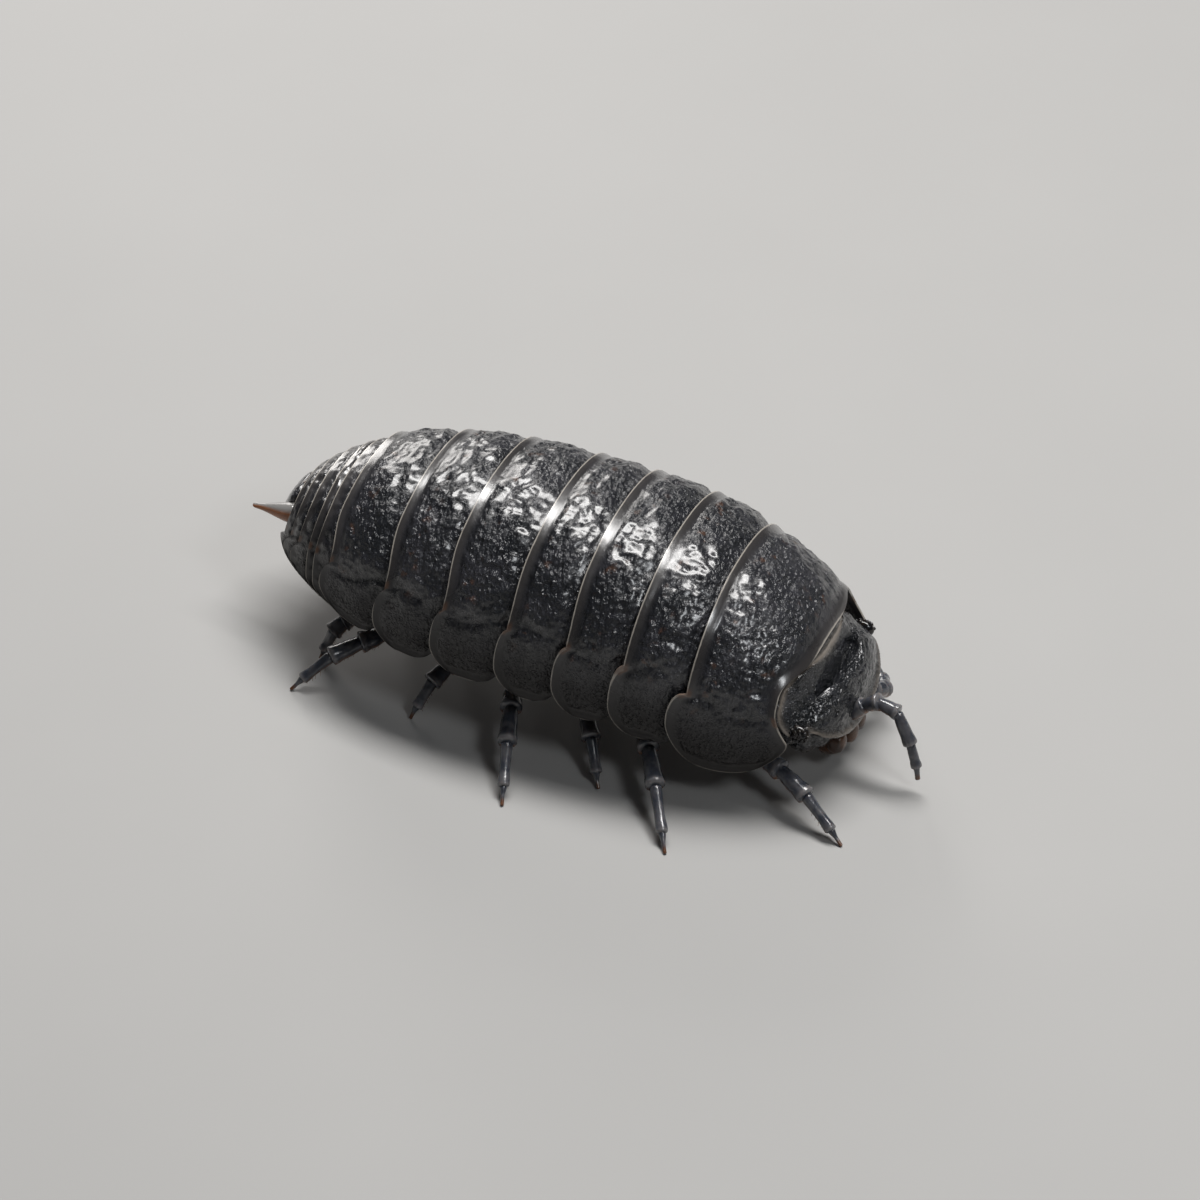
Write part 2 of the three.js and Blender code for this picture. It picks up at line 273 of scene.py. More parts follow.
def finish_piece(
    piece: Object,
    material: Material,
    nodes: Sequence[str] = (),
    angle: float = 50,
) -> Object:
    """Shade, dress and report a finished piece.

    Args:
        piece: The finished object.
        material: What it is made of.
        nodes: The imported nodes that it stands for.
        angle: The sharpest bend, in degrees, that is still shaded smooth.

    Returns:
        The same object.
    """
    select_only(piece)
    bpy.ops.object.shade_smooth_by_angle(angle=math.radians(angle))
    piece.data.materials.clear()
    piece.data.materials.append(material)
    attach(piece, "root")
    if nodes:
        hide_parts(*nodes)
    LOG.info("%s: %d faces", piece.name, len(piece.data.polygons))
    return piece


# Finishes


class Signal:
    """A number that varies over a surface, with Python's operators for shader maths."""

    def __init__(self, paint: "Paint", socket: NodeSocket) -> None:
        """Wrap an output socket of a material's tree."""
        self.paint = paint
        self.socket = socket

    def _math(self, operation: str, first: object, second: object) -> "Signal":
        """Add one Math node and return its result."""
        node = self.paint.node("Math", {"operation": operation}, [first, second])
        return Signal(self.paint, node.outputs[0])

    def __add__(self, other: object) -> "Signal":
        """Return the sum."""
        return self._math("ADD", self, other)

    __radd__ = __add__

    def __sub__(self, other: object) -> "Signal":
        """Return self less the other."""
        return self._math("SUBTRACT", self, other)

    def __rsub__(self, other: object) -> "Signal":
        """Return the other less self."""
        return self._math("SUBTRACT", other, self)

    def __mul__(self, other: object) -> "Signal":
        """Return the product."""
        return self._math("MULTIPLY", self, other)

    __rmul__ = __mul__


class Paint:
    """Builds one material's nodes."""

    def __init__(self, name: str) -> None:
        """Start a material with a Principled shader.

        Args:
            name: The material's name.
        """
        self.material = bpy.data.materials.new(name)
        self.material.use_nodes = True
        self.tree = self.material.node_tree
        self.shader = self.tree.nodes["Principled BSDF"]
        self.place = self.node("TexCoord").outputs["Object"]

    def node(
        self, kind: str, settings: dict | None = None, inputs: dict | list | None = None
    ) -> Node:
        """Add a shader node.

        Args:
            kind: The node's type, without its ShaderNode prefix.
            settings: Properties of the node, set before its sockets.
            inputs: Values or links, by socket name or in order.

        Returns:
            The node.
        """
        node = self.tree.nodes.new(f"ShaderNode{kind}")
        for key, value in (settings or {}).items():
            setattr(node, key, value)
        pairs = inputs.items() if isinstance(inputs, dict) else enumerate(inputs or [])
        for key, value in pairs:
            self.feed(node.inputs[key], value)
        return node

    def feed(self, socket: NodeSocket, value: object) -> None:
        """Link or set one input socket.

        Args:
            socket: The input socket.
            value: A link, a signal, a colour or a number.
        """
        if isinstance(value, Signal):
            value = value.socket
        if isinstance(value, NodeSocket):
            self.tree.links.new(value, socket)
        elif isinstance(value, tuple) and socket.type == "RGBA":
            socket.default_value = (*value, 1.0)
        else:
            socket.default_value = value

    def attribute(self, name: str) -> Signal:
        """Return a measure that is stored on the mesh."""
        return Signal(self, self.node("Attribute", {"attribute_name": name}).outputs["Fac"])

    def stretched(self, scale: Point) -> NodeSocket:
        """Return the place on the piece, stretched along each axis."""
        return self.node("Mapping", {}, {"Vector": self.place, "Scale": scale}).outputs[0]

    def grain(self, size: float, detail: float = 2.0, stretch: Point | None = None) -> Signal:
        """Return noise whose cells are about size millimetres across.

        Args:
            size: Width of a cell or bead, in millimetres.
            detail: How many finer layers are added.
            stretch: Scale along each axis, if it isn't even.

        Returns:
            The noise, about 0 to 1.
        """
        place = self.stretched(stretch) if stretch else self.place
        inputs = {"Vector": place, "Scale": 1 / (size * MM), "Detail": detail}
        return Signal(self, self.node("TexNoise", {}, inputs).outputs[0])

    def beads(self, size: float, stretch: Point | None = None) -> Signal:
        """Return the distance from the nearest of many scattered points, about size millimetres apart.

        Args:
            size: Width of a cell or bead, in millimetres.
            stretch: Scale along each axis, if it isn't even.

        Returns:
            The distance, about 0 to 1.
        """
        place = self.stretched(stretch) if stretch else self.place
        inputs = {"Vector": place, "Scale": 1 / (size * MM)}
        return Signal(self, self.node("TexVoronoi", {"feature": "F1"}, inputs).outputs["Distance"])

    def band(self, signal: Signal, low: float, high: float, start: float = 0.0, end: float = 1.0) -> Signal:
        """Return start where the signal is below low and end above high, with a smooth step between.

        Args:
            signal: What is measured.
            low: Where the step starts.
            high: Where the step ends.
            start: The value below low.
            end: The value above high.

        Returns:
            The stepped signal.
        """
        settings = {"interpolation_type": "SMOOTHSTEP", "clamp": True}
        node = self.node("MapRange", settings, [signal, low, high, start, end])
        return Signal(self, node.outputs[0])

    def mix(self, share: object, first: object, second: object) -> NodeSocket:
        """Return a blend of two colours.

        Args:
            share: How much of the second colour shows.
            first: What shows at a share of 0.
            second: What shows at a share of 1.

        Returns:
            The colour's socket.
        """
        node = self.node("Mix", {"data_type": "RGBA"})
        self.feed(node.inputs["Factor"], share)
        colours = [socket for socket in node.inputs if socket.type == "RGBA"]
        self.feed(colours[0], first)
        self.feed(colours[1], second)
        return next(socket for socket in node.outputs if socket.type == "RGBA")

    def bump(self, height: Signal, depth: float) -> None:
        """Raise the surface by a height signal, by depth millimetres where the signal is 1."""
        inputs = {"Height": height, "Strength": 1.0, "Distance": depth * MM}
        self.set(Normal=self.node("Bump", {}, inputs).outputs[0])

    def set(self, **inputs: object) -> None:
        """Feed the shader's sockets, named with underscores for spaces."""
        for key, value in inputs.items():
            self.feed(self.shader.inputs[key.replace("_", " ")], value)


@dataclass(frozen=True)
class CuticleFinish:
    """The glossy granulate shell: near black flanks, greyer back, thin pale rims."""

    slate: Colour = (0.009, 0.01, 0.013)
    haze: Colour = (0.03, 0.03, 0.036)
    umber: Colour = (0.009, 0.007, 0.0055)
    amber: Colour = (0.1, 0.042, 0.018)
    membrane: Colour = (0.04, 0.035, 0.032)
    rim: Colour = (0.36, 0.33, 0.29)
    cloud_size: float = 1.4
    blotch_size: float = 0.5
    spot_size: float = 0.3
    sheen_size: float = 0.8
    line_width: float = 0.048
    line_raggedness: float = 0.02
    veil_width: float = 0.33
    wrinkle_size: float = 0.2
    wrinkle_stretch: Point = (1.5, 0.8, 0.8)
    dimple_size: float = 0.16
    dimple_stretch: Point = (1.3, 0.8, 0.8)
    fine_size: float = 0.09
    granule_size: float = 0.07
    depth: float = 0.06

    def colour(self, paint: Paint, edge: Signal, above: Signal) -> NodeSocket:
        """Mix the colour: clouded slate, umber lobes, amber spots, a veiled margin and a thin pale rim.

        Args:
            paint: The material's nodes.
            edge: Distance to the plate's free edge.
            above: Height above the hem.

        Returns:
            The colour's socket.
        """
        clouds = paint.grain(self.cloud_size, 3.0) + paint.grain(self.blotch_size) * 0.5
        base = paint.mix(paint.band(clouds, 0.6, 1.0, 0.0, 0.85), self.slate, self.haze)
        base = paint.mix(paint.band(above, 0.2, 2.3, 0.85, 0.0), base, self.umber)
        spots = paint.band(paint.grain(self.spot_size), 0.58, 0.72) * paint.band(edge, 0.25, 0.5)
        spots = spots * paint.band(edge, 0.6, 1.0, 1.0, 0.0) * paint.band(above, 1.2, 1.9)
        base = paint.mix(spots * 0.5, base, self.amber)
        veil = paint.band(edge, 0.05, self.veil_width, 0.6, 0.0) * paint.band(above, 0.4, 2.2, 0.15, 1.0)
        base = paint.mix(veil, base, self.membrane)
        ragged = edge + paint.grain(0.2, 1.0) * self.line_raggedness
        line = paint.band(ragged, 0.02, self.line_width, 1.0, 0.0) * paint.band(above, 0.0, 2.0, 0.6, 0.9)
        base = paint.mix(line, base, self.rim)
        kink = paint.band(above, 1.7, 1.85) * paint.band(above, 2.0, 2.2, 1.0, 0.0)
        kink = kink * paint.band(edge, 0.06, 0.16, 1.0, 0.0)
        return paint.mix(kink * 0.7, base, self.amber)

    def height(self, paint: Paint, edge: Signal, above: Signal) -> Signal:
        """Add up the relief: wrinkles and dimples on the back, and fine granules down to the lobes.

        Args:
            paint: The material's nodes.
            edge: Distance to the plate's free edge.
            above: Height above the hem.

        Returns:
            The height, in shares of the depth.
        """
        wrinkles = paint.grain(self.wrinkle_size, 2.0, self.wrinkle_stretch)
        dimples = paint.band(paint.beads(self.dimple_size, self.dimple_stretch), 0.15, 0.75)
        fine = paint.grain(self.fine_size, 2.0, self.dimple_stretch)
        folded = (wrinkles * 1.9 + dimples * 0.6 + fine * 0.7) * paint.band(above, 0.8, 2.2, 0.35, 1.0)
        granules = paint.band(paint.beads(self.granule_size), 0.05, 0.6, 1.0, 0.0)
        crust = granules * paint.band(above, 0.8, 2.4, 0.34, 0.16)
        return (folded + crust) * paint.band(edge, 0.14, 0.42, 0.06, 1.0)

    def make(self) -> Material:
        """Make the material, which reads the edge and height measures of each plate.

        Returns:
            The material.
        """
        paint = Paint("granulate_cuticle")
        edge = paint.attribute("edge")
        above = paint.attribute("above")
        paint.bump(self.height(paint, edge, above), self.depth)
        sheen = paint.band(paint.grain(self.sheen_size), 0.35, 0.7, 0.24, 0.36)
        rough = sheen + paint.band(above, 0.0, 1.8, 0.14, 0.0)
        paint.set(Base_Color=self.colour(paint, edge, above), Roughness=rough, IOR=1.42)
        gloss = paint.band(above, 0.6, 2.6, 0.0, 0.8)
        paint.set(Coat_Weight=gloss, Coat_Roughness=0.22, Coat_IOR=1.6)
        return paint.material


@dataclass(frozen=True)
class HeadFinish:
    """The head's shell: near black with fine bright granules, paler along its raised lines."""

    slate: Colour = (0.009, 0.01, 0.012)
    haze: Colour = (0.028, 0.029, 0.034)
    umber: Colour = (0.035, 0.017, 0.009)
    pale: Colour = (0.22, 0.19, 0.16)
    granule_size: float = 0.14
    crumb_size: float = 0.07
    crease_size: float = 0.22
    depth: float = 0.07

    def make(self) -> Material:
        """Make the material, which reads the ridge and low measures of the head.

        Returns:
            The material.
        """
        paint = Paint("head_cuticle")
        base = paint.mix(paint.band(paint.grain(0.7, 3.0), 0.4, 0.75), self.slate, self.haze)
        low = paint.attribute("low")
        ridge = paint.attribute("ridge")
        base = paint.mix(low * 0.9, base, self.umber)
        base = paint.mix(ridge * 0.9, base, self.pale)
        granules = paint.band(paint.beads(self.granule_size), 0.05, 0.55, 0.6, 0.0)
        crumbs = paint.band(paint.beads(self.crumb_size), 0.05, 0.55, 0.3, 0.0)
        height = granules + crumbs + paint.grain(self.crease_size) * 2.2
        paint.bump(height * (1 - ridge * 0.85), self.depth)
        paint.set(Base_Color=base, Roughness=0.24, IOR=1.42)
        paint.set(Coat_Weight=(1 - low) * 0.5, Coat_Roughness=0.13, Coat_IOR=1.6)
        return paint.material


@dataclass(frozen=True)
class LimbFinish:
    """Legs and feelers: glassy blue-grey with pale joints and an orange-brown underside."""

    glass: Colour = (0.03, 0.034, 0.045)
    pale: Colour = (0.2, 0.19, 0.19)
    amber: Colour = (0.2, 0.085, 0.035)
    claw: Colour = (0.1, 0.04, 0.018)

    def make(self) -> Material:
        """Make the material, which reads the joint, under and claw measures of each limb.

        Returns:
            The material.
        """
        paint = Paint("limb_cuticle")
        mottle = paint.band(paint.grain(0.3, 2.0), 0.35, 0.7, 0.0, 0.3)
        base = paint.mix(mottle, self.glass, self.pale)
        base = paint.mix(paint.attribute("under") * 0.75, base, self.amber)
        base = paint.mix(paint.attribute("joint") * 0.6, base, self.pale)
        base = paint.mix(paint.attribute("claw"), base, self.claw)
        paint.bump(paint.grain(0.06, 2.0) + (1 - paint.beads(0.06)) * 0.4, 0.007)
        paint.set(Base_Color=base, Roughness=0.22, IOR=1.5, Coat_Weight=0.5, Coat_Roughness=0.12)
        paint.set(Subsurface_Weight=0.25, Subsurface_Scale=0.15 * MM, Subsurface_Radius=(1.0, 0.6, 0.4))
        return paint.material


@dataclass(frozen=True)
class SoftFinish:
    """Satin soft parts in two tones: gill flaps, belly and mouthparts."""

    name: str
    light: Colour
    dark: Colour
    roughness: float = 0.4

    def make(self) -> Material:
        """Make the material.

        Returns:
            The material.
        """
        paint = Paint(self.name)
        base = paint.mix(paint.band(paint.grain(0.45, 3.0), 0.35, 0.7), self.dark, self.light)
        paint.bump(paint.grain(0.12, 3.0) + (1 - paint.beads(0.08)) * 0.4, 0.015)
        paint.set(Base_Color=base, Roughness=self.roughness, IOR=1.48, Coat_Weight=0.15, Coat_Roughness=0.2)
        paint.set(Subsurface_Weight=0.2, Subsurface_Scale=0.2 * MM, Subsurface_Radius=(1.0, 0.6, 0.4))
        return paint.material


@dataclass(frozen=True)
class SpikeFinish:
    """The tail spikes: pale grey above and orange-brown below."""

    pale: Colour = (0.2, 0.195, 0.19)
    amber: Colour = (0.3, 0.1, 0.028)

    def make(self) -> Material:
        """Make the material, which reads the under measure.

        Returns:
            The material.
        """
        paint = Paint("tail_spike_cuticle")
        base = paint.mix(paint.attribute("under"), self.pale, self.amber)
        paint.bump(paint.grain(0.08, 2.0), 0.01)
        paint.set(Base_Color=base, Roughness=0.3, IOR=1.5, Coat_Weight=0.3, Coat_Roughness=0.15)
        return paint.material


@dataclass(frozen=True)
class EyeFinish:
    """The eyes: black domes, slightly brown between them."""

    black: Colour = (0.005, 0.005, 0.006)
    brown: Colour = (0.015, 0.01, 0.006)

    def make(self) -> Material:
        """Make the material.

        Returns:
            The material.
        """
        paint = Paint("eye_facets")
        base = paint.mix(paint.band(paint.grain(0.1, 2.0), 0.4, 0.7), self.black, self.brown)
        paint.bump(paint.grain(0.05, 1.0), 0.002)
        paint.set(Base_Color=base, Roughness=0.16, IOR=1.45, Coat_Weight=0.3, Coat_Roughness=0.08)
        return paint.material


@dataclass(frozen=True)
class FloorFinish:
    """The plain pale floor, with a faint unevenness."""

    light: Colour = (0.34, 0.337, 0.331)
    dark: Colour = (0.318, 0.315, 0.309)

    def make(self) -> Material:
        """Make the material.

        Returns:
            The material.
        """
        paint = Paint("pale_floor")
        base = paint.mix(paint.grain(9.0, 3.0), self.dark, self.light)
        paint.set(Base_Color=base, Roughness=0.65)
        return paint.material


# The arched form that all back plates follow


@dataclass(frozen=True)
class Arch:
    """The outer form of the trunk and tail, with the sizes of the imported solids."""

    half_width: float = 3.72
    width_reach_front: float = 9.6
    reach_rear: float = 7.9
    crest: float = 6.3
    crest_reach_front: float = 7.95
    springing: float = 2.7
    hem: float = 2.1
    tail_hem_rise: float = 0.4
    squareness: float = 2.3
    dip: float = 0.85
    dip_at: float = 6.2
    dip_half_length: float = 1.9

    def width_at(self, x: float) -> float:
        """Return the half width at x."""
        share = taper(x, self.width_reach_front, 3.4) if x > 0 else taper(x, self.reach_rear, 2.2)
        return self.half_width * share

    def crest_at(self, x: float) -> float:
        """Return the height of the back at x."""
        share = taper(x, self.crest_reach_front, 2.6) if x > 0 else taper(x, self.reach_rear, 2.2)
        return lerp(self.springing, self.crest, share)

    def hem_at(self, x: float) -> float:
        """Return the height of the lowest edge at x."""
        dip = self.dip * max(0.0, 1 - ((x - self.dip_at) / self.dip_half_length) ** 2)
        return self.hem - dip + self.tail_hem_rise * smooth(3, 7, -x)

    def point(self, x: float, turn: float, lift: float) -> Point:
        """Return a point of the form.

        Args:
            x: Place along the body.
            turn: 0 at the right hem, pi at the left one.
            lift: Distance outwards from the form.

        Returns:
            The point in the trunk frame.
        """
        power = 2 / self.squareness
        across = math.cos(turn)
        hem = self.hem_at(x)
        y = -(self.width_at(x) + lift) * math.copysign(abs(across) ** power, across)
        return x, y, hem + (self.crest_at(x) + lift - hem) * max(0.0, math.sin(turn)) ** power

    def rise(self, turn: float) -> float:
        """Return the share of the way from hem to crest at a turn."""
        return max(0.0, math.sin(turn)) ** (2 / self.squareness)


ARCH = Arch()

# Heights over the hem are given as on the trunk's middle, where the back is this high.
CREST_HEIGHT = 4.2

# The turn between neighbours on a spiral that fills a disc evenly.
SPIRAL_TURN = 2.4


def even_turn(share: float) -> float:
    """Return the turn for a share of the way over the back, with closer steps near the hems.

    Args:
        share: Share of the way from right to left.

    Returns:
        The turn, from 0 to pi.
    """
    half = 2 * min(share, 1 - share)
    turn = math.pi / 2 * half**1.4
    return turn if share <= 0.5 else math.pi - turn


@dataclass
class Trunk:
    """The seven back plates, each a thin lobed shell that slides over the one behind it."""

    rear_edges: tuple[float, ...] = (5.1, 3.4, 1.7, 0.0, -1.95, -3.75, -5.6)
    lobe_sweeps: tuple[float, ...] = (0.46, 0.34, 0.32, 0.28, 0.3, 0.3, 0.3)
    pinches: tuple[float, ...] = (0.02, 0.05, 0.16, 0.2, 0.3, 0.32, 0.32)
    hem_lifts: tuple[float, ...] = (0.0, -0.2, -0.05, 0.08, 0.16, 0.24, 0.26)
    bows: tuple[float, ...] = (0.15, 0.2, 0.25, 0.35, 0.35, 0.35, 0.35)
    lobe_top: float = 1.9
    lobe_full: float = 0.85
    rear_corner: float = 0.85
    front_corner: float = 1.0
    underlap: float = 0.35
    tuck: float = 0.35
    step: float = 0.16
    rim_lift: float = 0.05
    bead: float = 0.02
    bead_width: float = 0.03
    groove: float = 0.035
    wall: float = 0.05
    step_reach: float = 0.55
    rim_reach: float = 0.7
    groove_at: float = 0.24
    groove_width: float = 0.1
    shoulder: float = 0.035
    shoulder_at: float = 0.85
    fold: float = 0.06
    fold_size: Point = (0.26, 0.42, 0.42)
    dent: float = 0.065
    dent_size: float = 0.19
    swell: float = 0.035
    swell_size: float = 1.1
    lobe_groove: float = 0.05
    lobe_groove_at: float = 1.95
    hood_front: float = 7.3
    hood_low_reach: float = 0.45
    hood_high_reach: float = 0.4
    hood_corner: float = 1.0
    columns: int = 34
    hood_columns: int = 46
    rows: int = 230

    def rear_margin(self, i: int, above: float) -> float:
        """Return where plate i ends at a height above the hem, before its corner is rounded.

        Args:
            i: The plate's index, from the front.
            above: Height above the hem.

        Returns:
            Place along the body.
        """
        down = clamp((above - self.lobe_full) / (self.lobe_top - self.lobe_full), 0.0, 1.0)
        lobe = math.sqrt(1 - down**2)
        drawn_in = self.pinches[i] * (1 - smooth(2.2, 3.7, above))
        bow = self.bows[i] * smooth(1.8, 4.2, above)
        return self.rear_edges[i] + bow + drawn_in - self.lobe_sweeps[i] * lobe

    def rear(self, i: int, above: float) -> float:
        """Return where plate i ends, with its rounded corner."""
        return self.rear_margin(i, above) + corner_inset(above, self.rear_corner)

    def front(self, i: int, above: float) -> float:
        """Return where plate i starts, under the plate before it.

        Args:
            i: The plate's index, from the front.
            above: Height above the hem.

        Returns:
            Place along the body.
        """
        if i == 0:
            low_reach = self.hood_low_reach * (1 - smooth(0.4, 2.4, above))
            high_reach = self.hood_high_reach * smooth(2.8, 4.2, above)
            return self.hood_front + low_reach + high_reach - corner_inset(above, self.hood_corner)
        tucked = self.rear(i - 1, above) + self.tuck
        own_corner = self.rear_margin(i - 1, 0.0) + self.underlap - corner_inset(above, self.front_corner)
        return min(tucked, own_corner + 0.6 * smooth(0.5, 1.6, above))

    def relief(self, i: int, x: float, turn: float, above: float, edge: float, ahead: float) -> float:
        """Return how far the surface stands out at a point.

        Args:
            i: The plate's index.
            x: Place along the body.
            turn: Place round the arch.
            above: Height above the hem.
            edge: Distance to the plate's free edge.
            ahead: Distance behind the edge of the plate before.

        Returns:
            The lift in millimetres.
        """
        lift = -self.step * (1 - smooth(-0.05, self.step_reach, ahead)) if i else 0.0
        lift += self.rim_lift * (1 - smooth(0.0, self.rim_reach, edge))
        lift += self.bead * bell(edge - 0.02, self.bead_width)
        lift -= self.groove * bell(edge - self.groove_at, self.groove_width)
        lift += self.shoulder * bell(edge - self.shoulder_at, 0.35) * smooth(0.8, 2.0, above)
        place = Vector(ARCH.point(x, turn, 0.0))
        calm = smooth(0.16, 0.5, edge) * smooth(0.0, 0.3, ahead if i else 1.0)
        flank = lerp(0.25, 1.0, smooth(1.0, 2.6, above))
        folded = Vector([part / size for part, size in zip(place, self.fold_size)])
        folds = noise.noise(folded + Vector((7.3 * i, 0, 0)))
        dents = abs(noise.noise(place / self.dent_size + Vector((0, 3.1 * i, 5)))) - 0.25
        swell = noise.noise(place / self.swell_size + Vector((i, 11, 2)))
        lift += calm * flank * (self.fold * folds - self.dent * dents)
        lift += self.swell * swell * smooth(0.05, 0.4, edge)
        from_groove = above - self.lobe_groove_at + 0.18 * math.sin(2.2 * x + i)
        return lift - self.lobe_groove * bell(from_groove, 0.16) * smooth(0.15, 0.5, edge)

    def edge_distance(self, i: int, x: float, above: float) -> float:
        """Return the distance to plate i's free edge: its rear edge, its hem and, on the hood, its front.

        Args:
            i: The plate's index, from the front.
            x: Place along the body.
            above: Height above the hem.

        Returns:
            The distance in millimetres.
        """
        distance = min(max(0.0, x - self.rear(i, above)), above + HEM_EDGE)
        if i == 0:
            distance = min(distance, max(0.0, self.front(i, above) - x))
        return distance

    def plate_point(self, i: int, along: float, across: float) -> Point:
        """Find a point of plate i.

        Args:
            i: The plate's index, from the front.
            along: Share from the front to the rear.
            across: Share from the right hem to the left one.

        Returns:
            The point in the trunk frame.
        """
        turn = even_turn(across)
        above = CREST_HEIGHT * ARCH.rise(turn)
        x = lerp(self.front(i, above), self.rear(i, above), along)
        edge = self.edge_distance(i, x, above)
        ahead = self.rear(i - 1, above) - x if i else 1.0
        px, py, pz = ARCH.point(x, turn, self.relief(i, x, turn, above, edge, ahead))
        return px, py, pz + self.hem_lifts[i] * (1 - smooth(0.0, 2.0, above))

    def plate(self, i: int, material: Material) -> Object:
        """Build plate i.

        Args:
            i: The plate's index, from the front.
            material: What it is made of.

        Returns:
            The finished plate.
        """
        columns = self.columns if i else self.hood_columns
        hem_lift = self.hem_lifts[i]
        piece = sheet_grid(f"tergite_{i + 1}", columns, self.rows, partial(self.plate_point, i))
        thicken(piece, self.wall)
        mark(piece, "above", lambda p: self.height_share(p, hem_lift))
        mark(piece, "edge", lambda p: self.edge_distance(i, p.x, self.height_share(p, hem_lift)))
        return finish_piece(piece, material, [f"pereonite_{i + 1}"])

    def height_share(self, place: Vector, hem_lift: float = 0.0) -> float:
        """Return a place's height above the hem, on a plate of full height."""
        hem = ARCH.hem_at(place.x) + hem_lift
        return CREST_HEIGHT * clamp((place.z - hem) / (ARCH.crest_at(place.x) - hem), 0.0, 1.0)

    def build(self, material: Material) -> None:
        """Build all seven plates."""
        for i in range(len(self.rear_edges)):
            self.plate(i, material)


@dataclass
class Tail:
    """Five narrow plates, the end plate, two spikes and the gill flaps."""

    trunk: Trunk
    edges: tuple[float, ...] = (-5.9, -6.17, -6.6, -6.98, -7.3)
    hem_lift: float = 0.2
    tuck: float = 0.4
    bow: float = 0.18
    sweep: float = 0.3
    lobed_from: int = 2
    corner: float = 0.4
    sink: float = 0.12
    step: float = 0.1
    bead: float = 0.02
    rim_lift: float = 0.07
    wall: float = 0.045
    columns: int = 16
    rows: int = 150
    telson_centre: Point = (-7.56, 0.0, 3.42)
    telson_half: Point = (0.64, 0.5, 0.19)
    telson_pitch: float = 1.08
    spike_root: Point = (-7.2, 0.72, 3.4)
    spike_tips: tuple[Point, Point] = ((-8.55, 0.74, 3.3), (-8.1, 0.74, 2.78))
    spike_radius: float = 0.3
    spike_tip_radius: float = 0.07
    spike_plate_centre: Point = (-7.12, 0.82, 3.18)
    spike_plate_half: Point = (0.3, 0.42, 0.5)
    flap_half: Point = (0.34, 0.62, 0.12)
    flap_count: int = 5
    flap_pitch: float = 0.26
    flap_tilt: float = 0.5
    first_flap: Point = (-5.95, 0.6, 2.62)
    roundness: float = 2.6

    def rear(self, j: int, above: float) -> float:
        """Return where tail plate j ends at a height above the hem.

        Args:
            j: The tail plate's index, from the front.
            above: Height above the hem.

        Returns:
            Place along the body.
        """
        down = clamp((above - 0.5) / 1.3, 0.0, 1.0)
        sweep = self.sweep * math.sqrt(1 - down**2) if j >= self.lobed_from else 0.0
        edge = self.edges[j] + self.bow * smooth(1.5, 4.0, above) - sweep
        return edge + corner_inset(above, self.corner)

    def ahead_of(self, j: int, above: float) -> float:
        """Return where the plate in front of tail plate j ends."""
        last = len(self.trunk.rear_edges) - 1
        return self.rear(j - 1, above) if j else self.trunk.rear(last, above)

    def plate_point(self, j: int, along: float, across: float) -> Point:
        """Find a point of tail plate j.

        Args:
            j: The tail plate's index, from the front.
            along: Share from the front to the rear.
            across: Share from the right hem to the left one.

        Returns:
            The point in the trunk frame.
        """
        turn = even_turn(across)
        above = CREST_HEIGHT * ARCH.rise(turn)
        rear = self.rear(j, above)
        ahead = self.ahead_of(j, above)
        x = lerp(max(ahead, rear) + self.tuck, rear, along)
        edge = min(x - rear, above + HEM_EDGE)
        lift = self.bead * bell(edge, 0.04) + self.rim_lift * (1 - smooth(0.0, 0.35, edge))
        lift -= self.sink + self.step * (1 - smooth(-0.04, 0.16, ahead - x))
        spot = Vector(ARCH.point(x, turn, 0.0))
        grain = 0.05 * noise.noise(spot / 0.24) + 0.03 * noise.noise(spot / 0.12)
        lift += grain * smooth(0.03, 0.15, edge) * lerp(0.3, 1.0, smooth(1.0, 2.6, above))
        px, py, pz = ARCH.point(x, turn, lift)
        return px, py, pz + self.hem_lift * (1 - smooth(0.0, 2.0, above))

    def plates(self, material: Material) -> Object:
        """Build the five plates as one piece.

        Args:
            material: What it is made of.

        Returns:
            The finished piece.
        """
        pieces = []
        for j in range(len(self.edges)):
            form = partial(self.plate_point, j)
            piece = sheet_grid(f"tail_plate_{j + 1}", self.columns, self.rows, form)
            thicken(piece, self.wall)
            mark(piece, "above", lambda p: self.trunk.height_share(p, self.hem_lift))
            mark(piece, "edge", partial(self.edge_distance, j))
            pieces.append(piece)
        return finish_piece(join(pieces, "pleonites"), material, ["pleon"])

    def edge_distance(self, j: int, place: Vector) -> float:
        """Return the distance to tail plate j's rear edge or hem."""
        above = self.trunk.height_share(place, self.hem_lift)
        return min(max(0.0, place.x - self.rear(j, above)), above + HEM_EDGE)

    def end_plate(self, material: Material) -> Object:
        """Build the small end plate between the spikes.

        Args:
            material: What it is made of.

        Returns:
            The finished plate.
        """
        pitch = Matrix.Rotation(-self.telson_pitch, 3, "Y")
        centre = Vector(self.telson_centre)

        def form(co: Vector) -> Point:
            """Find a point of the plate, which is broader at its base.

            Args:
                co: A direction on the ball.

            Returns:
                The point in the trunk frame.
            """
            local = squared_off(co, self.telson_half, self.roundness)
            local.y *= lerp(0.6, 1.45, smooth(-0.6, 0.6, local.x))
            local.z += 0.012 * noise.noise(local / 0.15)
            return tuple(centre + pitch @ local)

        piece = round_form("end_plate", 48, 32, form)
        mark(piece, "above", lambda p: 2.6)
        mark(piece, "edge", lambda p: 0.6 * smooth(2.82, 3.1, p.z))
        return finish_piece(piece, material, ["telson"])

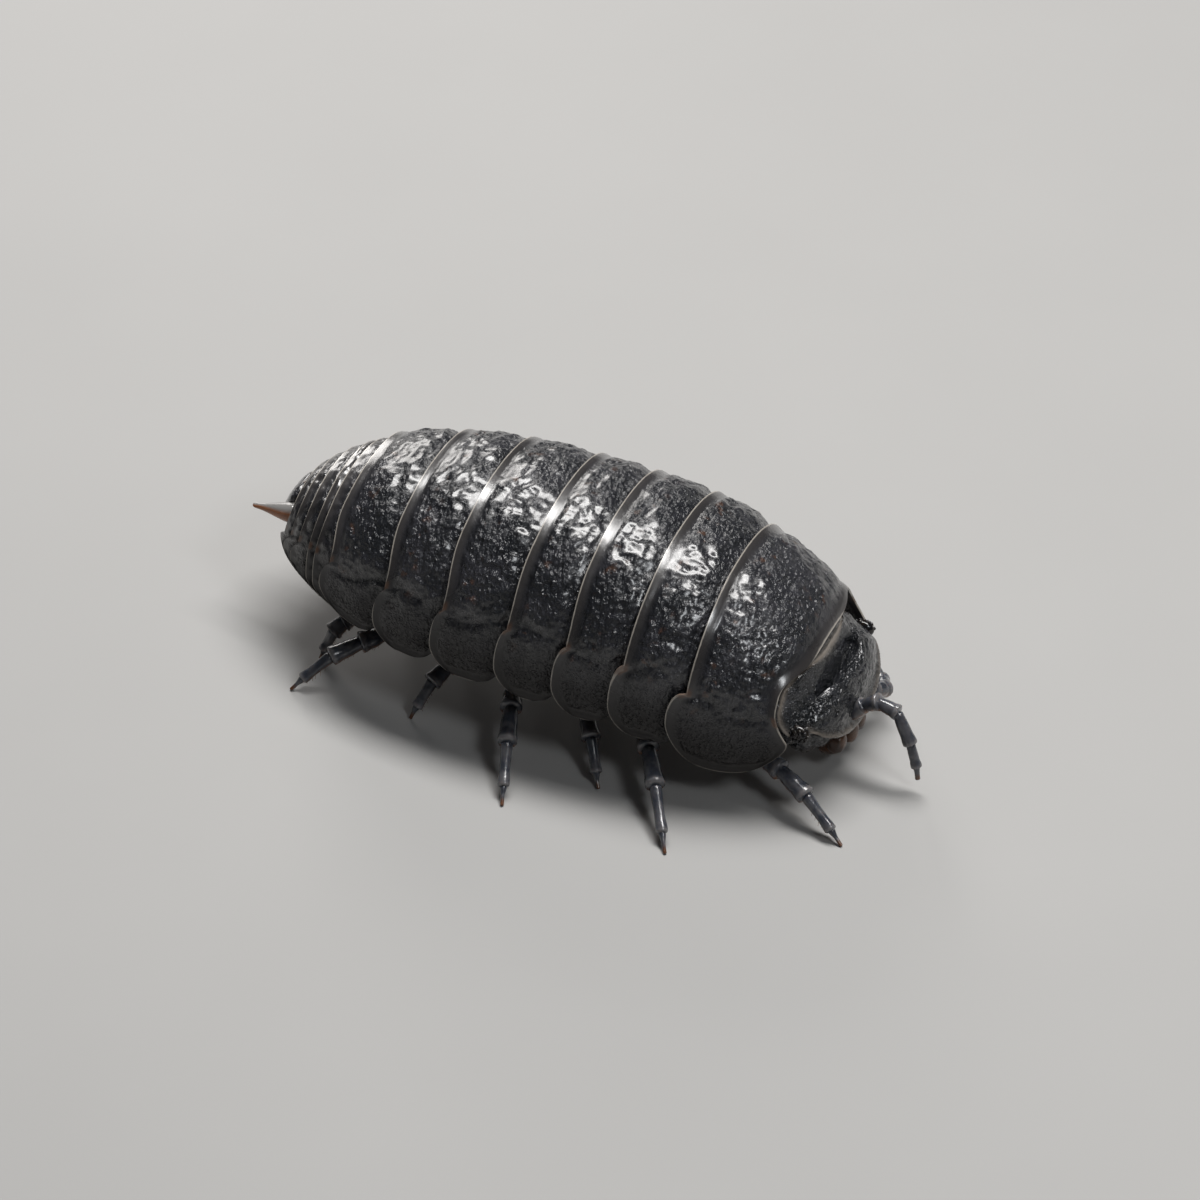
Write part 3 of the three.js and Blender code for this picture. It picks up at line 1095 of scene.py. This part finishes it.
    def spikes(self, material: Material) -> None:
        """Build the two tail spikes.

        Args:
            material: What it is made of.
        """
        for side, tip in zip((Side.RIGHT, Side.LEFT), self.spike_tips):
            root = Vector(self.spike_root)
            tip = Vector(tip)
            root.y *= side.value
            tip.y *= side.value
            blade = Profile(self.spike_radius, self.spike_tip_radius, flare=0.0, neck=1.0, shoulder=1.0)
            pieces = [
                turned("spike_blade", root, tip, blade, 28, 36),
                round_form("spike_plate", 36, 24, partial(self.spike_plate_point, side)),
            ]
            piece = join(pieces, f"tail_spike_{side.word}")

            def below(p: Vector, root: Vector = root, tip: Vector = tip) -> float:
                """Find how far a place is under the spike's upper side.

                Args:
                    p: A place in the trunk frame.
                    root: The spike's root.
                    tip: The spike's tip.

                Returns:
                    The share, from 0 to 1.
                """
                share = clamp((p.x - root.x) / (tip.x - root.x), 0.0, 1.0)
                radius = lerp(self.spike_radius, self.spike_tip_radius, share)
                return 1 - smooth(0.4 * radius, 0.8 * radius, p.z - lerp(root.z, tip.z, share))

            mark(piece, "under", below)
            finish_piece(piece, material, [f"uropod_{side.word}"])

    def spike_plate_point(self, side: Side, co: Vector) -> Point:
        """Find a point of the flat base between the end plate and the last tail plate.

        Args:
            side: The side of the animal.
            co: A direction on the ball.

        Returns:
            The point in the trunk frame.
        """
        cx, cy, cz = self.spike_plate_centre
        place = Vector((cx, side.value * cy, cz)) + Vector(self.spike_plate_half) * co
        return tuple(place + co * 0.02 * noise.noise(place / 0.2))

    def flaps(self, material: Material) -> Object:
        """Build the pairs of gill flaps under the tail.

        Args:
            material: What it is made of.

        Returns:
            The finished piece.
        """
        tilt = Matrix.Rotation(self.flap_tilt, 3, "Y")
        x, y, z = self.first_flap
        pieces = []
        for k in range(self.flap_count):
            for side in Side:
                centre = Vector((x - self.flap_pitch * k, side.value * y, z))

                def form(co: Vector, centre: Vector = centre) -> Point:
                    """Find a point of one flap."""
                    return tuple(centre + tilt @ squared_off(co, self.flap_half, self.roundness))

                pieces.append(round_form("gill_flap", 24, 12, form))
        return finish_piece(join(pieces, "gill_flaps"), material, ["pleopods"])


@dataclass(frozen=True)
class Profile:
    """How thick a turned limb article is from its root to its end."""

    root: float
    end: float
    flare: float = 0.12
    neck: float = 0.72
    shoulder: float = 0.55
    root_round: float = 0.08
    end_round: float = 0.07

    def radius(self, share: float) -> float:
        """Return the radius a share of the way along.

        Args:
            share: Share of the way from root to end.

        Returns:
            The radius in millimetres.
        """
        body = lerp(self.root * self.neck, self.end, smooth(0.0, self.shoulder, share))
        body += self.end * self.flare * smooth(0.62, 0.9, share)
        past_end = max(0.0, (share - 1 + self.end_round) / self.end_round)
        before_root = max(0.0, (self.root_round - share) / self.root_round)
        return body * math.sqrt(max(0.0, 1 - past_end**2)) * math.sqrt(max(0.0, 1 - before_root**2))


def turned(
    name: str, start: Vector, end: Vector, profile: Profile, around: int, down: int
) -> Object:
    """Make a turned article between two points of the trunk frame.

    Args:
        name: The piece's name.
        start: The article's root.
        end: The article's far end.
        profile: Its thickness.
        around: Segments round it.
        down: Rings along it.

    Returns:
        The article.
    """
    along = end - start
    turn = along.to_track_quat("Z", "Y")

    def form(co: Vector) -> Point:
        """Find a point of the article.

        Args:
            co: A direction on the ball.

        Returns:
            The point in the trunk frame.
        """
        share = (co.z + 1) / 2
        size = math.hypot(co.x, co.y)
        radius = profile.radius(share)
        flat = Vector((co.x, co.y, 0)) * (radius / size if size > 1e-6 else 0)
        return tuple(start + turn @ (flat + Vector((0, 0, share * along.length))))

    return round_form(name, around, down, form)


@dataclass
class Head:
    """The head shell with its front margin, the eyes and the mouthparts."""

    trunk: Trunk
    centre: Point = (7.74, 0.0, 2.0)
    half: Point = (0.96, 2.08, 1.25)
    squareness: float = 2.4
    ridge_half_angle: float = 1.15
    ridge_low: float = -0.42
    ridge_rise: float = 0.5
    ridge_height: float = 0.13
    ridge_width: float = 0.06
    face_sink: float = 0.13
    face_lump: float = 0.1
    rim_ahead: float = 0.05
    rim_height: float = 0.05
    collar_length: float = 0.95
    collar_sink: float = 0.1
    far_side_share: float = 0.45
    eye_direction: Point = (0.1, 0.86, 0.3)
    eye_half: Point = (0.3, 0.17, 0.24)
    eye_facets: int = 26
    eye_spread: float = 1.25
    eye_dome: float = 0.05
    mouth_centre: Point = (8.22, 0.0, 0.9)
    mouth_roundness: float = 2.5

    def shell_point(self, direction: Vector, lift: float = 0.0) -> Vector:
        """Return the head's surface in a direction, raised by lift."""
        half = [reach + lift for reach in self.half]
        return Vector(self.centre) + squared_off(direction, half, self.squareness)

    def over_margin(self, direction: Vector) -> tuple[float, float]:
        """Find how far a direction turns aside, and its slope over the front margin.

        Args:
            direction: A direction from the head's middle.

        Returns:
            The turn in radians and the slope.
        """
        turn = abs(math.atan2(direction.y, direction.x))
        level = direction.z / max(1e-4, math.hypot(direction.x, direction.y))
        return turn, level - self.ridge_low - self.ridge_rise * turn**1.5

    def ridge(self, direction: Vector) -> float:
        """Find how near a direction is to the front margin, from 0 to 1.

        Args:
            direction: A direction from the head's middle.

        Returns:
            The share, from 0 to 1.
        """
        turn, over = self.over_margin(direction)
        ends = 1 - smooth(self.ridge_half_angle - 0.1, self.ridge_half_angle + 0.25, turn)
        return bell(over, self.ridge_width) * ends

    def turn_of(self, place: Vector) -> float:
        """Return the turn over the body at which a place lies, below 0 or above pi under the hem."""
        turn = math.atan2(place.z - ARCH.hem_at(place.x), -place.y)
        return turn + 2 * math.pi if turn < -math.pi / 2 else turn

    def behind_rim(self, place: Vector) -> float:
        """Return how far a place lies behind the pale rear border, in millimetres."""
        above = CREST_HEIGHT * ARCH.rise(self.turn_of(place))
        return self.trunk.front(0, above) + self.rim_ahead - place.x

    def rear_band(self, place: Vector) -> float:
        """Return how near a place is to the pale rear border, from 0 to 1."""
        return bell(self.behind_rim(place), 0.05) * smooth(-0.1, 0.25, math.sin(self.turn_of(place)))

    def collared(self, place: Vector) -> Vector:
        """Return a place of the ball drawn out towards the first plate, so that the head fills its mouth.

        Args:
            place: A place in the trunk frame.

        Returns:
            The place after it is drawn out.
        """
        turn = self.turn_of(place)
        behind = self.behind_rim(place)
        share = smooth(-self.collar_length, -0.02, behind) * smooth(-0.15, 0.4, math.sin(turn))
        share *= lerp(1.0, self.far_side_share, smooth(0.0, 1.2, place.y))
        sink = self.collar_sink + 0.3 * smooth(0.08, 0.5, behind) - self.rim_height * bell(behind, 0.06)
        return place.lerp(Vector(ARCH.point(place.x, clamp(turn, 0.0, math.pi), -sink)), share)

    def direction_of(self, place: Vector) -> Vector:
        """Return the direction of a place from the middle, on a ball of radius 1."""
        return Vector([(p - c) / h for p, c, h in zip(place, self.centre, self.half)]).normalized()

    def surface(self, co: Vector) -> Point:
        """Find a point of the shell, with its margin, the sunken face below it and its grain.

        Args:
            co: A direction on the ball.

        Returns:
            The point in the trunk frame.
        """
        turn, over = self.over_margin(co)
        ridge = self.ridge(co)
        face = smooth(0.0, 0.25, -over) * (1 - smooth(1.2, 1.5, turn))
        lump = bell(turn - 0.42, 0.16) * bell(over + 0.3, 0.18)
        lift = self.ridge_height * ridge - self.face_sink * face + self.face_lump * lump
        spot = self.shell_point(co)
        grain = 0.035 * (noise.noise(spot / 0.15) + noise.noise(spot / 0.5))
        grain += 0.02 * noise.noise(spot / 0.09)
        place = self.collared(self.shell_point(co, lift))
        out = (place - Vector(self.centre)).normalized()
        return tuple(place + out * grain * (1 - 0.8 * ridge) * (1 - self.rear_band(place)))

    def shell(self, material: Material) -> Object:
        """Build the head shell.

        Args:
            material: What it is made of.

        Returns:
            The finished shell.
        """
        piece = round_form("head_shell", 200, 130, self.surface)
        mark(piece, "ridge", self.pale_share)
        mark(piece, "low", lambda p: 1 - smooth(0.95, 1.7, p.z))
        return finish_piece(piece, material, ["head"])

    def pale_share(self, place: Vector) -> float:
        """Return how pale the shell is at a place."""
        return clamp(self.ridge(self.direction_of(place)) + self.rear_band(place), 0.0, 1.0)

    def eyes(self, material: Material) -> None:
        """Build both eyes, each a low mound set with small domes.

        Args:
            material: What it is made of.
        """
        for side in Side:
            along, across, up = self.eye_direction
            centre = self.collared(self.shell_point(Vector((along, side.value * across, up)).normalized()))
            half = Vector(self.eye_half)

            def mound(co: Vector, centre: Vector = centre, half: Vector = half) -> Point:
                """Find a point of the mound."""
                return tuple(centre + half * co)

            pieces = [round_form("eye_mound", 32, 20, mound)]
            for k in range(self.eye_facets):
                tilt = self.eye_spread * math.sqrt((k + 0.5) / self.eye_facets)
                turn = SPIRAL_TURN * k
                ring = math.sin(tilt)
                out = Vector((ring * math.cos(turn), side.value * math.cos(tilt), ring * math.sin(turn)))
                spot = Vector(mound(out))

                def dome(co: Vector, spot: Vector = spot) -> Point:
                    """Find a point of one dome."""
                    return tuple(spot + co * self.eye_dome)

                pieces.append(round_form("eye_dome", 14, 10, dome))
            piece = join(pieces, f"compound_eye_{side.word}")
            finish_piece(piece, material, [f"eye_{side.word}"])

    def mouthparts(self, material: Material) -> Object:
        """Build the mouthparts: two broad plates, two inner ones and the upper lip.

        Args:
            material: What it is made of.

        Returns:
            The finished piece.
        """
        cx, _, cz = self.mouth_centre
        lumps = [((cx - 0.16, 0.5 * s, cz - 0.06), (0.4, 0.46, 0.42)) for s in (-1, 1)]
        lumps += [((cx + 0.22, 0.26 * s, cz + 0.1), (0.26, 0.24, 0.34)) for s in (-1, 1)]
        lumps += [((cx + 0.12, 0.86 * s, cz + 0.16), (0.26, 0.26, 0.3)) for s in (-1, 1)]
        lumps += [((cx + 0.28, 0.0, cz + 0.42), (0.2, 0.46, 0.2))]
        pieces = []
        for centre, half in lumps:

            def form(co: Vector, centre: Point = centre, half: Point = half) -> Point:
                """Find a point of one lump."""
                local = squared_off(co, half, self.mouth_roundness)
                return tuple(Vector(centre) + local * (1 + 0.05 * noise.noise(local / 0.14)))

            pieces.append(round_form("mouth_lump", 36, 24, form))
        return finish_piece(join(pieces, "mouth_plates"), material, ["mouthparts"])


@dataclass
class Limbs:
    """The fourteen walking legs and the two feelers."""

    roots: tuple[float, ...] = (5.95, 3.4, 1.7, 0.0, -1.5, -3.35, -5.0)
    knees_back: tuple[float, ...] = (0.05, 0.5, 0.5, 0.5, 0.15, 0.15, 0.0)
    right_feet: tuple[tuple[float, float], ...] = (
        (9.55, 3.45), (5.55, 5.55), (3.0, 4.0), (0.99, 5.6), (-2.65, 3.5), (-6.05, 3.75), (-5.9, 2.3),
    )
    left_feet: tuple[tuple[float, float], ...] = (
        (6.6, 4.2), (4.6, 5.1), (2.2, 5.3), (0.3, 5.2), (-2.3, 5.1), (-4.5, 4.8), (-6.6, 3.5),
    )
    root_y: float = 2.35
    root_z: float = 3.1
    knee_y: float = 1.35
    first_knee_y: float = 1.85
    knee_z: float = 1.7
    joints: tuple[tuple[float, float, float], ...] = (
        (0.22, 1.22, 0.22), (0.42, 1.12, 0.26), (0.66, 0.88, 0.23), (0.9, 0.32, 0.14), (1.0, 0.02, 0.05),
    )
    feeler_radii: tuple[float, ...] = (0.24, 0.23, 0.21, 0.19, 0.17, 0.13, 0.07)
    right_feeler: tuple[Point, ...] = (
        (8.4, -0.5, 1.62), (8.85, -0.36, 2.08), (9.25, -0.36, 2.33), (9.8, -0.44, 2.25),
        (10.25, -0.57, 1.45), (10.48, -0.65, 0.8), (10.55, -0.68, 0.4),
    )
    left_feeler: tuple[Point, ...] = (
        (8.3, 0.85, 1.5), (8.6, 1.2, 1.25), (8.68, 1.7, 0.95), (8.4, 2.25, 0.72),
        (7.95, 2.7, 0.68), (7.6, 2.95, 0.66), (7.4, 3.05, 0.64),
    )
    root_radii: tuple[float, float] = (0.28, 0.23)
    cuff: float = 0.16
    overlap: float = 0.35
    bristled: tuple[int, ...] = (2, 3, 4)
    bristle_pairs: int = 5
    bristle_length: float = 0.16
    bristle_radius: float = 0.014

    def limb(
        self,
        name: str,
        points: Sequence[Vector],
        radii: Sequence[float],
        bristled: Sequence[int],
        chance: random.Random,
    ) -> Object:
        """Build one limb from its joints.

        Args:
            name: The piece's name.
            points: The joints from root to tip, in the trunk frame.
            radii: The radius at each joint.
            bristled: Indices of the articles that carry bristles.
            chance: The seeded source of small variations.

        Returns:
            The joined limb, with its measures marked.
        """
        pieces = []
        last = len(points) - 2
        for k, (start, end) in enumerate(zip(points, points[1:])):
            flare = self.cuff if 0 < k < last else 0.0
            over = (end - start).normalized() * radii[k + 1] * (self.overlap if k < last else 0.0)
            profile = Profile(radii[k], radii[k + 1], flare=flare)
            pieces.append(turned("article", start, end + over, profile, 28, 26))
            if k in bristled:
                pieces += self.bristles(start, end, radii[k + 1], chance)
        piece = join(pieces, name)
        mark(piece, "joint", lambda p: self.joint_share(p, points))
        mark(piece, "under", lambda p: self.under_share(p, points))
        tip = points[-1]
        mark(piece, "claw", lambda p: 1 - smooth(0.1, 0.26, (p - tip).length))
        return piece

    @staticmethod
    def nearest(place: Vector, points: Sequence[Vector]) -> tuple[float, float, Vector]:
        """Return the distance past the article's start and before its end, and the offset from its line.

        Args:
            place: A place in the trunk frame.
            points: The limb's joints, from root to tip.

        Returns:
            The two distances and the offset.
        """
        best = None
        for start, end in zip(points, points[1:]):
            along = end - start
            share = clamp((place - start).dot(along) / along.length_squared, 0.0, 1.0)
            offset = place - (start + along * share)
            if best is None or offset.length < best[2].length:
                best = (share * along.length, (1 - share) * along.length, offset)
        return best

    def joint_share(self, place: Vector, points: Sequence[Vector]) -> float:
        """Return how near a place is to the far end of its article."""
        _, left, _ = self.nearest(place, points)
        return bell(left - 0.02, 0.06)

    def under_share(self, place: Vector, points: Sequence[Vector]) -> float:
        """Return 1 on the underside of a limb and 0 on its upper side."""
        _, _, offset = self.nearest(place, points)
        return 1 - smooth(-0.7, 0.1, offset.normalized().z if offset.length > 1e-6 else 1.0)

    def bristles(
        self, start: Vector, end: Vector, radius: float, chance: random.Random
    ) -> list[Object]:
        """Build the short bristles along the underside of one article.

        Args:
            start: The article's start.
            end: The article's end.
            radius: The radius of the article.
            chance: The seeded source of small variations.

        Returns:
            The bristles.
        """
        along = (end - start).normalized()
        down = (Vector((0, 0, -1)) - along * along.dot(Vector((0, 0, -1)))).normalized()
        across = along.cross(down)
        found = []
        for k in range(self.bristle_pairs):
            for lean in (-0.5, 0.5):
                share = 0.35 + 0.14 * k + chance.uniform(-0.03, 0.03)
                out = (down + across * lean * chance.uniform(0.8, 1.2)).normalized()
                foot = start.lerp(end, share) + out * radius * 0.75
                length = self.bristle_length * chance.uniform(0.8, 1.2)
                tip = foot + (out * 0.75 + along * 0.65).normalized() * length
                profile = Profile(self.bristle_radius, self.bristle_radius * 0.35, flare=0.0, neck=1.0)
                found.append(turned("bristle", foot, tip, profile, 6, 5))
        return found

    def legs(self, material: Material) -> None:
        """Build the fourteen legs.

        Args:
            material: What it is made of.
        """
        chance = random.Random(7)
        for side in Side:
            feet = self.right_feet if side is Side.RIGHT else self.left_feet
            for k, (foot_x, foot_y) in enumerate(feet):
                knee_y = self.first_knee_y if k == 0 else self.knee_y
                knee_x = self.roots[k] - self.knees_back[k]
                points = [
                    Vector((self.roots[k], side.value * self.root_y, self.root_z)),
                    Vector((knee_x, side.value * knee_y, self.knee_z)),
                ]
                for share, height, _ in self.joints:
                    across = side.value * lerp(knee_y, foot_y, share)
                    points.append(Vector((lerp(knee_x, foot_x, share), across, height)))
                radii = [*self.root_radii, *(radius for _, _, radius in self.joints)]
                name = f"walking_leg_{side.word}_{k + 1}"
                piece = self.limb(name, points, radii, self.bristled, chance)
                self.stand(piece)
                finish_piece(piece, material, [f"leg_{side.word}_{k + 1}"], angle=60)

    @staticmethod
    def stand(piece: Object) -> None:
        """Press what reaches below the floor up to it."""
        for vertex in piece.data.vertices:
            vertex.co.z = max(vertex.co.z, 0.0)

    def feelers(self, material: Material) -> None:
        """Build the two feelers.

        Args:
            material: What it is made of.
        """
        chance = random.Random(19)
        for side, route in ((Side.RIGHT, self.right_feeler), (Side.LEFT, self.left_feeler)):
            points = [Vector(point) for point in route]
            piece = self.limb(f"feeler_{side.word}", points, self.feeler_radii, (), chance)
            finish_piece(piece, material, [f"antenna_{side.word}"], angle=60)


@dataclass
class SoftBody:
    """The soft underside and the membrane that shows between the plates."""

    front: float = 7.0
    rear: float = -7.42
    depth: float = 0.34
    belly: float = 3.0
    side_level: float = 2.95
    plates: int = 12
    plate_depth: float = 0.12
    end_rise: float = 0.3

    def point(self, co: Vector) -> Point:
        """Find a point of the body for a direction on the ball.

        Args:
            co: A direction on the ball.

        Returns:
            The point in the trunk frame.
        """
        share = clamp((co.z + 1) / 2, 0.0, 1.0)
        x = lerp(self.rear, self.front, share)
        shrink = math.sqrt(max(0.0, 1 - (2 * share - 1) ** 12))
        angle = math.atan2(co.y, co.x)
        if abs(angle) < math.pi / 2:
            _, y, z = ARCH.point(x, math.pi / 2 - angle, -self.depth)
        else:
            width = ARCH.width_at(x) - self.depth
            y = width * math.cos(abs(angle) - math.pi / 2) * math.copysign(1.0, angle)
            ripple = smooth(0.0, 0.5, abs(math.sin(math.pi * share * self.plates)))
            z = self.belly - self.plate_depth * ripple * smooth(0.0, 0.6, 1 - abs(y) / width)
        z = max(z, self.side_level)
        return x, y * shrink, lerp(self.belly + self.end_rise, z, shrink)

    def build(self, material: Material) -> Object:
        """Build the body as one closed form under the plates, with breast plates across its belly."""
        return finish_piece(round_form("soft_body", 96, 180, self.point), material)


@dataclass
class Studio:
    """The pale floor, the soft lights and the camera."""

    azimuth: float = 24.0
    elevation: float = 40.0
    distance: float = 120.0
    pixels_per_mm: float = 38.0
    frame_pixels: float = 1200.0
    middle_pixel: tuple[float, float] = (556.0, 589.0)
    aim: Point = (0.0, 0.0, 2.7)
    sensor: float = 36.0
    floor_size: float = 1200.0
    air: Colour = (0.78, 0.8, 0.84)
    air_strength: float = 0.07

    def axes(self) -> tuple[Vector, Vector, Vector]:
        """Return the directions towards the camera, to its right and up in its view.

        Returns:
            The three directions.
        """
        turn, rise = math.radians(self.azimuth), math.radians(self.elevation)
        back = Vector((math.sin(turn) * math.cos(rise), -math.cos(turn) * math.cos(rise), math.sin(rise)))
        right = Vector((math.cos(turn), math.sin(turn), 0))
        return back, right, back.cross(right)

    def camera(self) -> None:
        """Place the camera at the photograph's viewing angle and framing."""
        back, right, up = self.axes()
        half = self.frame_pixels / 2
        aside = (half - self.middle_pixel[0]) / self.pixels_per_mm
        below = (half - self.middle_pixel[1]) / self.pixels_per_mm
        place = Vector(self.aim) + right * aside - up * below + back * self.distance
        bpy.ops.object.select_all(action="DESELECT")
        bpy.ops.object.camera_add(location=ORIGIN + place * MM)
        camera = bpy.context.view_layer.objects.active
        camera.rotation_mode = "QUATERNION"
        camera.rotation_quaternion = (-back).to_track_quat("-Z", "Y")
        camera.data.sensor_width = self.sensor
        camera.data.lens = self.sensor * self.distance * self.pixels_per_mm / self.frame_pixels
        camera.data.clip_start = 0.005
        camera.data.clip_end = 10
        bpy.context.scene.camera = camera

    def light(
        self,
        name: str,
        direction: Point,
        distance: float,
        size: tuple[float, float],
        watts: float,
        tint: Colour,
    ) -> None:
        """Add one soft light that faces the animal.

        Args:
            name: The light's name.
            direction: Where it hangs, seen from the animal.
            distance: How far away it hangs.
            size: Its length along the body and its depth.
            watts: Its power.
            tint: Its colour.
        """
        way = Vector(direction).normalized()
        bpy.ops.object.light_add(type="AREA", location=ORIGIN + way * distance * MM)
        lamp = bpy.context.view_layer.objects.active
        lamp.name = name
        lamp.rotation_mode = "QUATERNION"
        lamp.rotation_quaternion = (-way).to_track_quat("-Z", "Y")
        lamp.data.shape = "RECTANGLE"
        lamp.data.size = size[0] * MM
        lamp.data.size_y = size[1] * MM
        lamp.data.energy = watts
        lamp.data.color = tint

    def build(self, material: Material) -> None:
        """Set up the whole studio.

        Args:
            material: What it is made of.
        """
        bpy.ops.object.select_all(action="DESELECT")
        bpy.ops.mesh.primitive_plane_add(size=self.floor_size * MM, location=(0, 0, 0))
        floor = new_piece("studio_floor")
        floor.data.materials.append(material)
        self.camera()
        self.light("key_light", (0.05, 0.3, 0.95), 150, (130, 38), 0.33, (1.0, 0.985, 0.97))
        self.light("fill_light", (0.75, -0.35, 0.9), 170, (30, 30), 0.05, (0.95, 0.975, 1.0))
        self.light("rim_light", (-0.8, 1.0, 0.55), 140, (50, 50), 0.06, (1.0, 0.97, 0.94))
        world = bpy.data.worlds.new("studio_air")
        world.use_nodes = True
        background = world.node_tree.nodes["Background"]
        background.inputs["Color"].default_value = (*self.air, 1)
        background.inputs["Strength"].default_value = self.air_strength
        bpy.context.scene.world = world
        bpy.context.scene.view_settings.view_transform = "Standard"


def main() -> None:
    """Build the animal and its studio."""
    logging.basicConfig(level=logging.INFO, format="%(message)s")
    Studio().build(FloorFinish().make())
    shell = CuticleFinish().make()
    limb = LimbFinish().make()
    trunk = Trunk()
    trunk.build(shell)
    tail = Tail(trunk)
    tail.plates(shell)
    tail.end_plate(shell)
    tail.spikes(SpikeFinish().make())
    flap = SoftFinish("gill_flap_skin", (0.5, 0.46, 0.4), (0.3, 0.25, 0.2)).make()
    tail.flaps(flap)
    SoftBody().build(SoftFinish("soft_skin", (0.06, 0.05, 0.042), (0.025, 0.021, 0.019), 0.5).make())
    head = Head(trunk)
    head.shell(HeadFinish().make())
    head.eyes(EyeFinish().make())
    head.mouthparts(SoftFinish("mouth_skin", (0.09, 0.04, 0.018), (0.035, 0.016, 0.009), 0.3).make())
    limbs = Limbs()
    limbs.legs(limb)
    limbs.feelers(limb)


if __name__ == "__main__":
    main()
